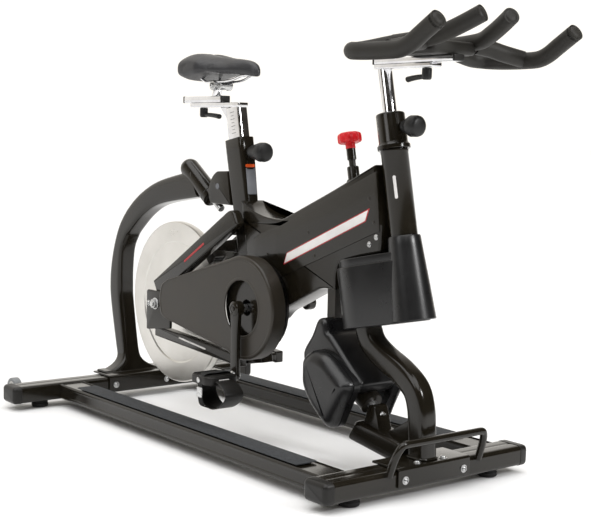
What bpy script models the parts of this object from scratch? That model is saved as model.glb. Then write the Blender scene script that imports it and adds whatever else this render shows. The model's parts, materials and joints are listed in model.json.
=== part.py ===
"""Indoor exercise bike whose frame leans from side to side on an inclined axis.

Metres, +Z up, +X forward, +Y to the rider's left. The origin is on the floor under the
middle of the overall box. Places on the frame are given as (distance ahead of the bottom
bracket, height above the floor).
"""
import math
import bmesh
import bpy
from mathutils import Matrix, Vector

# Overall layout
BB_X = 0.0067                 # bottom bracket ahead of the overall middle
BB_Z = 0.352
REAR_BEAM_X = -0.684
BASE_LENGTH = 1.239           # between the two cross beams' centres
REAR_BEAM_LENGTH = 0.830
FRONT_BEAM_LENGTH = 0.626
GAP = 0.0003                  # between pieces that touch

# Base
BEAM_DEPTH = 0.075
BEAM_HEIGHT = 0.048
BEAM_WALL = 0.003
FOOT_HEIGHT = 0.020
FOOT_RADIUS = 0.0235
FOOT_INSET = 0.099            # from a beam's tip to its foot
CAP_LENGTH = 0.026
RAIL_OUTER = 0.2705
RAIL_WIDTH = 0.077
RAIL_HEIGHT = 0.045
GRIP_THICKNESS = 0.002
GRIP_INSET = 0.008
GRIP_END = 0.085
WHEEL_RADIUS = 0.030
WHEEL_WIDTH = 0.022
WHEEL_BORE = 0.0045
WHEEL_INSET = 0.055           # from the rear beam's tip to its wheel
PLATE_THICKNESS = 0.005
PLATE_HALF_WIDTH = 0.110
HANDLE_RADIUS = 0.0085
SPINE_WIDTH = 0.060
POST_WIDTH = 0.050
ARCH_WIDTH = 0.054

# Lean axis, from the front pivot up to the rear one
FRONT_PIVOT = (0.405, 0.150)
REAR_PIVOT = (-0.280, 0.614)
PIN_RADIUS = 0.012
REAR_PIN_RADIUS = 0.010
SLEEVE_RADIUS = 0.028
CAPSULE_RADIUS = 0.0275
CAPSULE_LENGTH = 0.163
TURN_GAP = 0.0006             # round pin to round hole

# Frame
TILT = math.radians(12.0)     # head tube, top rearward
HEAD_REF = (0.455, 0.660)     # a point on the steering axis
HEAD_RADIUS = 0.032
HEAD_TOP = 0.757
HEAD_BOTTOM = 0.515
SEAT_TILT = math.radians(10.9)
SEAT_REF = (-0.1465, 0.690)   # a point on the seat tube's axis
SEAT_POST_DEPTH = 0.060
SEAT_POST_WIDTH = 0.031
SLIDE_GAP = 0.001
SEAT_TUBE_WALL = 0.0025
SEAT_TUBE_TOP = 0.775
SEAT_TUBE_BOTTOM = 0.195
SEAT_BORE_BOTTOM = 0.500
BEAM_HALF_WIDTH = 0.035
FLYWHEEL_CENTRE = (-0.441, 0.3106)
FLYWHEEL_RADIUS = 0.2286
FLYWHEEL_WIDTH = 0.022
AXLE_RADIUS = 0.008
STAY_Y = 0.059                # middle of each rear stay
STAY_THICKNESS = 0.027
DROPOUT_THICKNESS = 0.008
CHAIN_Y = -0.040
CHAIN_WIDTH = 0.007
RING_TEETH = 52
SPROCKET_TEETH = 14
CHAIN_PITCH = 0.0127
CHAIN_HALF_HEIGHT = 0.0055

# Drive
SPINDLE_RADIUS = 0.010
CRANK_LENGTH = 0.170
CRANK_Y = 0.119
CRANK_THICKNESS = 0.014
PEDAL_AXLE_RADIUS = 0.007
PEDAL_INNER = 0.137
PEDAL_WIDTH = 0.095
GUARD_FACE = -0.105
GUARD_DEPTH = 0.0235
GUARD_RADIUS = 0.132
GUARD_HOLE = 0.073
GUARD_WALL = 0.003

# Steering and handlebar
STEM_RADIUS = 0.016
STEERER_WALL = 0.004
COLLAR_RADIUS = 0.033
COLLAR_TOP = 0.838
SHELL_WALL = 0.003
DRUM_RADIUS = 0.072
DRUM_X = 0.377
BALL = (0.363, 0.400)
BALL_RADIUS = 0.013
GRIP_RADIUS = 0.0185
STEM_TOP = 0.942
BAR_Z = 0.987

# Saddle
SEAT_POST_TOP = 0.858
SADDLE_REAR = -0.370
SADDLE_NOSE = -0.085
SADDLE_HALF_WIDTH = 0.0775
SADDLE_BOTTOM = 0.943
SADDLE_HEIGHT = 0.050

ROUND = 24                    # sides of a small round piece

FRONT_BEAM_X = REAR_BEAM_X + BASE_LENGTH
BEAM_BOTTOM = FOOT_HEIGHT
BEAM_TOP = BEAM_BOTTOM + BEAM_HEIGHT
STEERER_BORE = STEM_RADIUS + TURN_GAP
STEERER_RADIUS = STEERER_BORE + STEERER_WALL
TUBE_DEPTH = SEAT_POST_DEPTH + 2 * (SLIDE_GAP + SEAT_TUBE_WALL)
TUBE_WIDTH = SEAT_POST_WIDTH + 2 * (SLIDE_GAP + SEAT_TUBE_WALL)
RING_RADIUS = RING_TEETH * CHAIN_PITCH / (2 * math.pi)
SPROCKET_RADIUS = SPROCKET_TEETH * CHAIN_PITCH / (2 * math.pi)

for old in list(bpy.data.objects):
    bpy.data.objects.remove(old, do_unlink=True)

PARTS = bpy.data.collections.new("exercise_bike")
CUTTERS = bpy.data.collections.new("cutters")
for group in (PARTS, CUTTERS):
    bpy.context.scene.collection.children.link(group)


def material(name, colour, roughness, metallic=0.0):
    """A plain Principled finish."""
    mat = bpy.data.materials.new(name)
    mat.use_nodes = True
    shader = mat.node_tree.nodes["Principled BSDF"]
    shader.inputs["Base Color"].default_value = (*colour, 1.0)
    shader.inputs["Roughness"].default_value = roughness
    shader.inputs["Metallic"].default_value = metallic
    return mat


BLACK_PAINT = material("black_paint", (0.012, 0.012, 0.013), 0.28)
BLACK_PLASTIC = material("black_plastic", (0.016, 0.016, 0.017), 0.45)
FOAM = material("foam", (0.02, 0.02, 0.022), 0.8)
RUBBER = material("rubber", (0.02, 0.02, 0.02), 0.85)
GREY_RUBBER = material("grey_rubber", (0.35, 0.35, 0.35), 0.7)
CHROME = material("chrome", (0.8, 0.8, 0.82), 0.12, 1.0)
STEEL = material("steel", (0.62, 0.62, 0.63), 0.3, 1.0)
RED = material("red_plastic", (0.65, 0.02, 0.02), 0.35)
LEATHER = material("black_vinyl", (0.02, 0.02, 0.021), 0.5)


def at(x, z, y=0.0):
    """World point from distance ahead of the bottom bracket, height and side."""
    return Vector((x + BB_X, y, z))


def settle(obj):
    """Replace a curve or a stack of modifiers by its finished mesh."""
    graph = bpy.context.evaluated_depsgraph_get()
    mesh = bpy.data.meshes.new_from_object(obj.evaluated_get(graph))
    name, place = obj.name, obj.matrix_world.copy()
    bpy.data.objects.remove(obj, do_unlink=True)
    work = bmesh.new()
    work.from_mesh(mesh)
    bmesh.ops.remove_doubles(work, verts=work.verts, dist=0.00002)
    bmesh.ops.recalc_face_normals(work, faces=work.faces)
    work.to_mesh(mesh)
    work.free()
    solid = bpy.data.objects.new(name, mesh)
    solid.matrix_world = place
    PARTS.objects.link(solid)
    return solid


def prism(name, outline, y_low, y_high, round_edge=0.0, segments=2):
    """A side-view outline of (x, z) places, filled and carried across from y_low to y_high."""
    curve = bpy.data.curves.new(name, "CURVE")
    curve.dimensions = "2D"
    curve.fill_mode = "BOTH"
    curve.extrude = (y_high - y_low) / 2
    loops = outline if isinstance(outline[0][0], (tuple, list)) else [outline]
    for loop in loops:
        spline = curve.splines.new("POLY")
        spline.points.add(len(loop) - 1)
        for point, (x, z) in zip(spline.points, loop):
            point.co = (x + BB_X, z, 0.0, 1.0)
        spline.use_cyclic_u = True
    obj = bpy.data.objects.new(name, curve)
    obj.matrix_world = Matrix.Translation((0, (y_low + y_high) / 2, 0)) @ Matrix.Rotation(math.pi / 2, 4,
                                                                                          "X")
    PARTS.objects.link(obj)
    bpy.context.view_layer.update()
    solid = settle(obj)
    if round_edge:
        add_bevel(solid, round_edge, segments)
    return solid


def add_bevel(obj, width, segments=2):
    """Round the sharp edges of a settled solid."""
    bevel = obj.modifiers.new("rounded_edges", "BEVEL")
    bevel.width = width
    bevel.segments = segments
    bevel.limit_method = "ANGLE"
    bevel.angle_limit = math.radians(40)
    return obj


def box(name, low, high, round_edge=0.0):
    """A box between two corners."""
    bpy.ops.mesh.primitive_cube_add(size=1.0)
    obj = bpy.context.active_object
    obj.name = name
    low, high = Vector(low), Vector(high)
    obj.data.transform(Matrix.Translation((low + high) / 2) @ Matrix.Diagonal((*(high - low), 1.0)))
    move_to(obj, PARTS)
    if round_edge:
        add_bevel(obj, round_edge)
    return obj


def move_to(obj, group):
    """Keep an object in one collection."""
    for owner in list(obj.users_collection):
        owner.objects.unlink(obj)
    group.objects.link(obj)


def rod(name, start, end, radius, end_radius=None, sides=ROUND):
    """A round bar between two points; the second radius makes it a cone."""
    start, end = Vector(start), Vector(end)
    end_radius = radius if end_radius is None else end_radius
    bpy.ops.mesh.primitive_cone_add(vertices=sides, radius1=radius, radius2=end_radius,
                                    depth=(end - start).length)
    obj = bpy.context.active_object
    obj.name = name
    turn = Vector((0, 0, 1)).rotation_difference(end - start).to_matrix().to_4x4()
    obj.data.transform(Matrix.Translation((start + end) / 2) @ turn)
    move_to(obj, PARTS)
    return obj


def bore(radius, sides=ROUND):
    """Radius of a faceted hole that a round pin of this radius can turn in."""
    return radius / math.cos(math.pi / sides)


def tube(name, points, radius, sides=3, closed=False):
    """A bent round bar through its points, as a smooth curve with a round bevel."""
    curve = bpy.data.curves.new(name, "CURVE")
    curve.dimensions = "3D"
    curve.bevel_depth = radius
    curve.bevel_resolution = sides - 1
    curve.use_fill_caps = not closed
    curve.resolution_u = 4
    spline = curve.splines.new("NURBS")
    spline.points.add(len(points) - 1)
    for point, place in zip(spline.points, points):
        point.co = (*place, 1.0)
    spline.order_u = 3
    spline.use_endpoint_u = not closed
    spline.use_cyclic_u = closed
    obj = bpy.data.objects.new(name, curve)
    PARTS.objects.link(obj)
    bpy.context.view_layer.update()
    return settle(obj)


def lathe(name, profile, origin, axis, steps=ROUND):
    """Turn a closed ring of (radius, distance along the axis) round an axis."""
    mesh = bpy.data.meshes.new(name)
    edges = [(i, (i + 1) % len(profile)) for i in range(len(profile))]
    mesh.from_pydata([(r, 0.0, z) for r, z in profile], edges, [])
    obj = bpy.data.objects.new(name, mesh)
    PARTS.objects.link(obj)
    screw = obj.modifiers.new("turned", "SCREW")
    screw.axis = "Z"
    screw.steps = steps
    screw.render_steps = steps
    screw.use_merge_vertices = True
    screw.merge_threshold = 0.00001
    turn = Vector((0, 0, 1)).rotation_difference(Vector(axis)).to_matrix().to_4x4()
    obj.matrix_world = Matrix.Translation(origin) @ turn
    bpy.context.view_layer.update()
    return settle(obj)


def apply_boolean(obj, tool, operation):
    """Union with a helper solid, or cut by it."""
    step = obj.modifiers.new(operation.lower(), "BOOLEAN")
    step.operation = operation
    step.object = tool
    step.solver = "EXACT"
    tool.name = "tool_" + obj.name
    tool.hide_render = True
    tool.display_type = "WIRE"
    move_to(tool, CUTTERS)
    return obj


def join(obj, *tools):
    """Weld helper solids on."""
    for tool in tools:
        apply_boolean(obj, tool, "UNION")
    return obj


def cut(obj, *tools):
    """Cut helper solids out."""
    for tool in tools:
        apply_boolean(obj, tool, "DIFFERENCE")
    return obj


def body(name, origin):
    """An empty on a moving body's joint axis."""
    empty = bpy.data.objects.new("joint_" + name, None)
    empty.location = origin
    empty.empty_display_size = 0.05
    PARTS.objects.link(empty)
    bpy.context.view_layer.update()
    return empty


def finish(obj, mat, parent=None, smooth=True):
    """Give a piece its finish and the body that it moves with."""
    obj.data.materials.clear()
    obj.data.materials.append(mat)
    if smooth:
        obj.data.shade_smooth()
        obj.data.set_sharp_from_angle(angle=math.radians(35))
    if parent:
        obj.parent = parent
        obj.matrix_parent_inverse = parent.matrix_world.inverted()
    return obj


def mirrored(points):
    """A left-hand half path and its mirror image as one path, right to left."""
    return [(x, -y, z) for x, y, z in points] + [(x, y, z) for x, y, z in reversed(points)]


def arc(x, z, radius, start, end, steps):
    """Points on an arc in the side view, angles in degrees from +X towards +Z."""
    turns = [math.radians(start + (end - start) * i / steps) for i in range(steps + 1)]
    return [(x + radius * math.cos(t), z + radius * math.sin(t)) for t in turns]


def smooth_path(points, steps=4):
    """A Catmull-Rom curve through side-view points."""
    ends = [points[0]] + list(points) + [points[-1]]
    path = []
    for a, b, c, d in zip(ends, ends[1:], ends[2:], ends[3:]):
        for i in range(steps):
            t = i / steps
            path.append(tuple(0.5 * (2 * q + (r - p) * t + (2 * p - 5 * q + 4 * r - s) * t * t
                                     + (3 * q - p - 3 * r + s) * t ** 3)
                              for p, q, r, s in zip(a, b, c, d)))
    path.append(points[-1])
    return path


# Directions and points that several pieces share
LEAN_AXIS = (at(*FRONT_PIVOT) - at(*REAR_PIVOT)).normalized()
STEER_AXIS = Vector((-math.sin(TILT), 0, math.cos(TILT)))
SEAT_AXIS = Vector((-math.sin(SEAT_TILT), 0, math.cos(SEAT_TILT)))


def on_head(z):
    """Point on the steering axis at a height."""
    return at(HEAD_REF[0] + (HEAD_REF[1] - z) * math.tan(TILT), z)


def on_seat(z):
    """Point on the seat tube's axis at a height."""
    return at(SEAT_REF[0] + (SEAT_REF[1] - z) * math.tan(SEAT_TILT), z)


def seat_face(z, side, depth):
    """(x, z) on the front (+1) or rear (-1) face of a bar of this depth on the seat axis."""
    middle = on_seat(z)
    return (middle.x - BB_X + side * depth / 2 / math.cos(SEAT_TILT), z)


def seat_bar(name, low, high, depth, width):
    """A rectangular bar along the seat tube's axis."""
    bar = box(name, (-depth / 2, -width / 2, 0), (depth / 2, width / 2, (high - low) / math.cos(SEAT_TILT)))
    bar.data.transform(Matrix.Translation(on_seat(low)) @ Matrix.Rotation(-SEAT_TILT, 4, "Y"))
    return bar


# Bodies
LEAN = body("lean", at(*FRONT_PIVOT))
STEER = body("steer", on_head(HEAD_TOP))
STEER.parent = LEAN
STEER.matrix_parent_inverse = LEAN.matrix_world.inverted()


def child_body(name, origin, parent):
    """A moving body that hangs on another one."""
    empty = body(name, origin)
    empty.parent = parent
    empty.matrix_parent_inverse = parent.matrix_world.inverted()
    return empty


STEM = child_body("stem", on_head(COLLAR_TOP), STEER)
BARS = child_body("handlebar", at(0.500, STEM_TOP + 0.016), STEM)
SEAT = child_body("seat_post", on_seat(SEAT_TUBE_TOP), LEAN)
SADDLE = child_body("saddle", at(-0.273, 0.880), SEAT)
CRANKS = child_body("cranks", at(0, BB_Z), LEAN)
FLYWHEEL = child_body("flywheel", at(*FLYWHEEL_CENTRE), LEAN)


# ---- Base ----
def beam(name, x, length):
    """A hollow cross beam with an open end on each side."""
    half = length / 2 - CAP_LENGTH
    low, high = BEAM_BOTTOM, BEAM_TOP
    piece = box(name, at(x - BEAM_DEPTH / 2, low, -half), at(x + BEAM_DEPTH / 2, high, half))
    hollow = box("hollow", at(x - BEAM_DEPTH / 2 + BEAM_WALL, low + BEAM_WALL, -half - 0.01),
                 at(x + BEAM_DEPTH / 2 - BEAM_WALL, high - BEAM_WALL, half + 0.01))
    return cut(piece, hollow)


def end_cap(name, x, side, length):
    """A soft rounded plug that closes a beam's end."""
    tip, root = side * length / 2, side * (length / 2 - CAP_LENGTH + GAP)
    low, high = sorted((tip, root))
    return box(name, at(x - BEAM_DEPTH / 2 - 0.001, BEAM_BOTTOM - 0.001, low),
               at(x + BEAM_DEPTH / 2 + 0.001, BEAM_TOP + 0.001, high), 0.010)


def foot(name, x, y):
    """A round rubber foot under a beam."""
    return lathe(name, [(0.004, 0.010), (0.004, FOOT_HEIGHT - GAP), (FOOT_RADIUS, FOOT_HEIGHT - GAP),
                        (FOOT_RADIUS, 0.004), (FOOT_RADIUS - 0.004, 0.0), (0.010, 0.0), (0.010, 0.010)],
                 at(x, 0, y), (0, 0, 1), 20)


WHEEL_X = REAR_BEAM_X - BEAM_DEPTH / 2 - WHEEL_RADIUS - 0.003
WHEEL_Z = WHEEL_RADIUS + 0.016
WHEEL_Y = REAR_BEAM_LENGTH / 2 - WHEEL_INSET

rear_beam = beam("rear_beam", REAR_BEAM_X, REAR_BEAM_LENGTH)
for side in (-1, 1):
    for edge in (-1, 1):
        y = side * WHEEL_Y + edge * (WHEEL_WIDTH / 2 + 0.003)
        join(rear_beam, box("arm", at(WHEEL_X - 0.008, WHEEL_Z - 0.010, y - 0.0015),
                            at(REAR_BEAM_X - BEAM_DEPTH / 2 + 0.001, WHEEL_Z + 0.010, y + 0.0015)))
    join(rear_beam, rod("pin", at(WHEEL_X, WHEEL_Z, side * WHEEL_Y - 0.016),
                        at(WHEEL_X, WHEEL_Z, side * WHEEL_Y + 0.016), WHEEL_BORE - TURN_GAP, sides=12))
finish(rear_beam, BLACK_PAINT)
finish(beam("front_beam", FRONT_BEAM_X, FRONT_BEAM_LENGTH), BLACK_PAINT)
SIDES = (("right", -1), ("left", 1))
for word, side in SIDES:
    finish(end_cap("rear_beam_cap_" + word, REAR_BEAM_X, side, REAR_BEAM_LENGTH), BLACK_PLASTIC)
    finish(end_cap("front_beam_cap_" + word, FRONT_BEAM_X, side, FRONT_BEAM_LENGTH), BLACK_PLASTIC)
    finish(foot("rear_foot_" + word, REAR_BEAM_X, side * (REAR_BEAM_LENGTH / 2 - FOOT_INSET)), RUBBER)
    finish(foot("front_foot_" + word, FRONT_BEAM_X, side * (FRONT_BEAM_LENGTH / 2 - FOOT_INSET)), RUBBER)
    rear_end = REAR_BEAM_X + BEAM_DEPTH / 2 + GAP
    front_end = FRONT_BEAM_X - BEAM_DEPTH / 2 - GAP
    outer, inner = side * RAIL_OUTER, side * (RAIL_OUTER - RAIL_WIDTH)
    low_y, high_y = min(outer, inner), max(outer, inner)
    rail_top = BEAM_BOTTOM + 0.002 + RAIL_HEIGHT
    rail = box("side_rail_" + word, at(rear_end, BEAM_BOTTOM + 0.002, low_y), at(front_end, rail_top,
                                                                                 high_y))
    cut(rail, box("hollow", at(rear_end - 0.01, BEAM_BOTTOM + 0.005, low_y + BEAM_WALL),
                  at(front_end + 0.01, rail_top - BEAM_WALL, high_y - BEAM_WALL)))
    finish(rail, BLACK_PAINT)
    grip = box("grip_strip_" + word, at(rear_end + GRIP_END, rail_top + GAP, low_y + GRIP_INSET),
               at(front_end - GRIP_END, rail_top + GAP + GRIP_THICKNESS, high_y - GRIP_INSET))
    finish(grip, RUBBER)
    wheel_axis = body("transport_wheel_" + word, at(WHEEL_X, WHEEL_Z, side * WHEEL_Y))
    half = WHEEL_WIDTH / 2
    hole = bore(WHEEL_BORE, 20)
    wheel = lathe("transport_wheel_" + word,
                  [(hole, half), (WHEEL_RADIUS - 0.003, half), (WHEEL_RADIUS, half - 0.004),
                   (WHEEL_RADIUS, 0.004 - half), (WHEEL_RADIUS - 0.003, -half), (hole, -half)],
                  at(WHEEL_X, WHEEL_Z, side * WHEEL_Y), (0, 1, 0), 20)
    finish(wheel, GREY_RUBBER, wheel_axis)

FRONT_FACE_X = FRONT_BEAM_X + BEAM_DEPTH / 2
PLATE_BOTTOM = BEAM_TOP + GAP
PLATE_TOP = PLATE_BOTTOM + PLATE_THICKNESS
front_plate = prism("front_clamp_plate", [
    (FRONT_FACE_X + GAP, 0.030), (FRONT_FACE_X + GAP + PLATE_THICKNESS, 0.030),
    (FRONT_FACE_X + GAP + PLATE_THICKNESS, PLATE_TOP), (FRONT_BEAM_X - 0.045, PLATE_TOP),
    (FRONT_BEAM_X - 0.045, PLATE_BOTTOM), (FRONT_FACE_X + GAP, PLATE_BOTTOM)],
    -PLATE_HALF_WIDTH, PLATE_HALF_WIDTH)
for side in (-1, 1):
    face = FRONT_FACE_X + GAP + PLATE_THICKNESS
    y = side * (PLATE_HALF_WIDTH - 0.020)
    join(front_plate, rod("bolt", at(face - 0.002, 0.042, y), at(face + 0.007, 0.042, y), 0.0085, sides=6))
finish(front_plate, BLACK_PAINT)

handle_y = PLATE_HALF_WIDTH + 0.027
handle = tube("lift_handle", mirrored([
    at(FRONT_BEAM_X + 0.034, 0.050, handle_y), at(FRONT_BEAM_X + 0.046, 0.075, handle_y),
    at(FRONT_BEAM_X + 0.062, 0.118, handle_y - 0.006), at(FRONT_BEAM_X + 0.066, 0.130, handle_y - 0.010),
    at(FRONT_BEAM_X + 0.067, 0.133, handle_y - 0.022), at(FRONT_BEAM_X + 0.067, 0.133, 0.040)]),
    HANDLE_RADIUS)
finish(cut(handle, box("seat", at(FRONT_BEAM_X - BEAM_DEPTH, 0, -FRONT_BEAM_LENGTH),
                       at(FRONT_FACE_X + GAP, BEAM_TOP + GAP, FRONT_BEAM_LENGTH))), BLACK_PAINT)

pivot = at(*FRONT_PIVOT)
SPINE_FRONT = FRONT_BEAM_X - BEAM_DEPTH / 2 - GAP
POST_REAR = FRONT_BEAM_X - 0.0275
spine = prism("spine_tube", [
    (SPINE_FRONT, 0.048), (SPINE_FRONT, BEAM_TOP), (FRONT_BEAM_X - 0.045 - GAP, BEAM_TOP),
    (FRONT_BEAM_X - 0.045 - GAP, 0.100), (FRONT_PIVOT[0] - 0.045, 0.126), (FRONT_PIVOT[0] - 0.075, 0.076)],
    -SPINE_WIDTH / 2, SPINE_WIDTH / 2)
cut(spine, prism("hollow", [
    (SPINE_FRONT + 0.01, 0.051), (SPINE_FRONT + 0.01, BEAM_TOP - 0.003), (FRONT_BEAM_X - 0.052, 0.096),
    (FRONT_PIVOT[0] - 0.044, 0.1215), (FRONT_PIVOT[0] - 0.069, 0.079)],
    0.003 - SPINE_WIDTH / 2, SPINE_WIDTH / 2 - 0.003))
join(spine, prism("yoke", [
    (FRONT_PIVOT[0] - 0.030, 0.117), (FRONT_PIVOT[0] + 0.030, 0.106), (FRONT_PIVOT[0] + 0.019, 0.146),
    (FRONT_PIVOT[0] + 0.010, 0.168), (FRONT_PIVOT[0] - 0.010, 0.168), (FRONT_PIVOT[0] - 0.018, 0.150)],
    -0.020, 0.020))
join(spine, rod("pin", pivot + LEAN_AXIS * 0.018, pivot - LEAN_AXIS * 0.150, PIN_RADIUS))
join(spine, prism("gusset", [
    (FRONT_BEAM_X - 0.130, 0.098), (FRONT_BEAM_X - 0.046, 0.090), (POST_REAR - 0.003, 0.100),
    (POST_REAR - 0.010, 0.155)], -0.004, 0.004))
finish(spine, BLACK_PAINT)

POST_PATH = [(FRONT_BEAM_X, PLATE_TOP - 0.010), (FRONT_BEAM_X - 0.003, 0.136), (FRONT_BEAM_X - 0.008,
                                                                                0.185),
             (FRONT_BEAM_X - 0.026, 0.226), (FRONT_BEAM_X - 0.073, 0.258), (BALL[0] + 0.064, 0.282),
             (BALL[0] + 0.022, 0.308), (BALL[0] + 0.002, 0.342), (BALL[0], BALL[1] - 0.028)]


def band(path, half_depths):
    """A closed outline that lies half a depth on each side of a side-view path."""
    points = [Vector(p) for p in path]
    left, right = [], []
    for i, point in enumerate(points):
        along = points[min(i + 1, len(points) - 1)] - points[max(i - 1, 0)]
        normal = Vector((-along.y, along.x)).normalized()
        left.append(tuple(point + normal * half_depths[i]))
        right.append(tuple(point - normal * half_depths[i]))
    return left + right[::-1]


post_line = smooth_path(POST_PATH, 3)
post = prism("front_post", band(post_line, [0.0275] * len(post_line)), -POST_WIDTH / 2, POST_WIDTH / 2)
cut(post, box("floor", at(FRONT_BEAM_X - 0.05, 0, -POST_WIDTH), at(FRONT_BEAM_X + 0.05, PLATE_TOP + GAP,
                                                                   POST_WIDTH)))
add_bevel(post, 0.008)
ball = at(*BALL)
join(post, rod("stud", ball - Vector((0, 0, 0.032)), ball, 0.007, sides=12))
bpy.ops.mesh.primitive_uv_sphere_add(segments=16, ring_count=8, radius=BALL_RADIUS)
knuckle = bpy.context.active_object
knuckle.data.transform(Matrix.Translation(ball))
join(post, knuckle)
finish(post, BLACK_PAINT)

# Rear arch: outer and inner edge, from the foot up and forward to the rear pivot
foot_z = PLATE_TOP + GAP
ARCH_OUTER = [(REAR_BEAM_X - 0.050, foot_z), (REAR_BEAM_X - 0.075, 0.157), (REAR_BEAM_X - 0.104, 0.276),
              (REAR_BEAM_X - 0.109, 0.341), (REAR_BEAM_X - 0.100, 0.402), (REAR_BEAM_X - 0.078, 0.466),
              (REAR_BEAM_X - 0.046, 0.523), (REAR_BEAM_X + 0.009, 0.577), (REAR_BEAM_X + 0.081, 0.621),
              (REAR_PIVOT[0] - 0.231, 0.655), (REAR_PIVOT[0] - 0.080, 0.684)]
ARCH_INNER = [(REAR_BEAM_X + 0.003, foot_z), (REAR_BEAM_X - 0.021, 0.164), (REAR_BEAM_X - 0.044, 0.283),
              (REAR_BEAM_X - 0.047, 0.375), (REAR_BEAM_X - 0.040, 0.436), (REAR_BEAM_X + 0.004, 0.496),
              (REAR_BEAM_X + 0.082, 0.551), (REAR_PIVOT[0] - 0.230, 0.586), (REAR_PIVOT[0] - 0.040, 0.612)]
arch_line = smooth_path(ARCH_OUTER, 2) + smooth_path(ARCH_INNER, 2)[::-1]
rear_pivot = at(*REAR_PIVOT)
arch = prism("rear_arch", arch_line, -ARCH_WIDTH / 2, ARCH_WIDTH / 2)
join(arch, prism("foot", [(REAR_BEAM_X - 0.052, foot_z), (REAR_BEAM_X - 0.056, foot_z + 0.018),
                          (REAR_BEAM_X + 0.002, foot_z + 0.018), (REAR_BEAM_X + 0.006, foot_z)],
                 0.012 - PLATE_HALF_WIDTH, PLATE_HALF_WIDTH - 0.012))
outward = Vector((LEAN_AXIS.x, LEAN_AXIS.z))
upward = Vector((-LEAN_AXIS.z, LEAN_AXIS.x))
end_low = Vector(REAR_PIVOT) - upward * 0.010
cut(arch, rod("seat", rear_pivot - LEAN_AXIS * 0.30, rear_pivot + LEAN_AXIS * 0.10,
              bore(CAPSULE_RADIUS + GAP)),
    prism("end", [tuple(end_low + outward * along + upward * rise)
                  for along, rise in ((-0.35, 0.0), (0.15, 0.0), (0.15, 0.15), (-0.35, 0.15))], -0.05,
                  0.05))
finish(arch, BLACK_PAINT)

REAR_FACE = REAR_BEAM_X + BEAM_DEPTH / 2 + GAP
rear_plate = prism("rear_clamp_plate", [
    (REAR_BEAM_X - 0.056, PLATE_BOTTOM), (REAR_FACE, PLATE_BOTTOM), (REAR_FACE, 0.028),
    (REAR_FACE + PLATE_THICKNESS, 0.028), (REAR_FACE + PLATE_THICKNESS, PLATE_TOP),
    (REAR_BEAM_X - 0.056, PLATE_TOP)], -PLATE_HALF_WIDTH, PLATE_HALF_WIDTH)
for side in (-1, 1):
    face = REAR_FACE + PLATE_THICKNESS
    y = side * (PLATE_HALF_WIDTH - 0.022)
    join(rear_plate, rod("bolt", at(face - 0.002, 0.042, y), at(face + 0.007, 0.042, y), 0.0085, sides=6))
finish(rear_plate, BLACK_PAINT)

dome = [(CAPSULE_RADIUS * math.cos(math.radians(a)), -CAPSULE_LENGTH + CAPSULE_RADIUS
         - CAPSULE_RADIUS * math.sin(math.radians(a))) for a in (0, 25, 50, 72)]
capsule = lathe("rear_pivot_housing",
                [(0.006, -CAPSULE_LENGTH + 0.0005), (0.006, 0.050), (REAR_PIN_RADIUS, 0.050),
                 (REAR_PIN_RADIUS, 0.0), (CAPSULE_RADIUS, 0.0)] + dome, rear_pivot, LEAN_AXIS)
finish(capsule, BLACK_PAINT)

# ---- Leaning frame ----
tube_bar = seat_bar("seat_tube", SEAT_TUBE_BOTTOM, SEAT_TUBE_TOP, TUBE_DEPTH, TUBE_WIDTH)
join(tube_bar, seat_bar("sleeve", SEAT_TUBE_TOP - 0.030, SEAT_TUBE_TOP, TUBE_DEPTH + 0.010,
                        TUBE_WIDTH + 0.010))
STAY_INNER = STAY_Y - STAY_THICKNESS / 2
bridge_z = 0.545
bridge_x = seat_face(bridge_z, 0, TUBE_DEPTH)[0]
join(tube_bar, box("bridge", at(bridge_x - 0.030, bridge_z - 0.020, -STAY_INNER + GAP),
                   at(bridge_x + 0.010, bridge_z + 0.020, STAY_INNER - GAP)))
low_x = seat_face(0.205, 0, TUBE_DEPTH)[0]
join(tube_bar, box("low_bridge", at(low_x - 0.024, 0.1955, -STAY_INNER + GAP),
                   at(low_x + 0.016, 0.2185, STAY_INNER - GAP)))
cut(tube_bar, seat_bar("bore", SEAT_BORE_BOTTOM, SEAT_TUBE_TOP + 0.010, SEAT_POST_DEPTH + 2 * SLIDE_GAP,
                       SEAT_POST_WIDTH + 2 * SLIDE_GAP))
SEAT_PIN_Z = 0.742
pin_hole = on_seat(SEAT_PIN_Z)
cut(tube_bar, rod("pin_hole", pin_hole, pin_hole + Vector((0.06, 0, 0)), bore(0.005 + TURN_GAP, 12),
                  sides=12))
finish(tube_bar, BLACK_PAINT, LEAN, smooth=False)

head_rear = [(on_head(z).x - BB_X - (HEAD_RADIUS + GAP) / math.cos(TILT), z) for z in (0.724, 0.590)]
tube_front = [seat_face(z, 1, TUBE_DEPTH + 2 * GAP) for z in (0.335, 0.617)]
gusset = [(tube_front[1][0] + t * 0.164, 0.617 - 0.042 * math.sin(math.radians(90 * t)))
          for t in (0.25, 0.5, 0.75)]
under = [(0.4345, 0.526), (0.345, 0.507), (0.292, 0.492), (0.280, 0.465), (0.280, 0.4235), (0.2266, 0.4235)]
main_beam = prism("main_beam", [tube_front[0], tube_front[1]] + gusset + [
    (0.064, 0.5755), head_rear[0], head_rear[1]] + under + [
    (0.100, 0.364), (0.040, 0.337), (0.028, 0.320), (0.0, 0.313), (-0.030, 0.319)],
    -BEAM_HALF_WIDTH, BEAM_HALF_WIDTH)
KNOB_X = 0.2985
knob_low = at(KNOB_X, 0.694)
join(main_beam, rod("knob_sleeve", knob_low - STEER_AXIS * 0.030, knob_low + STEER_AXIS * 0.022, 0.014))
cut(main_beam, rod("spindle_bore", at(0, BB_Z, -0.05), at(0, BB_Z, 0.05), bore(SPINDLE_RADIUS + TURN_GAP)),
    rod("stem_bore", knob_low - STEER_AXIS * 0.075, knob_low + STEER_AXIS * 0.030, bore(0.008 + TURN_GAP)))
finish(main_beam, BLACK_PAINT, LEAN)

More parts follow.
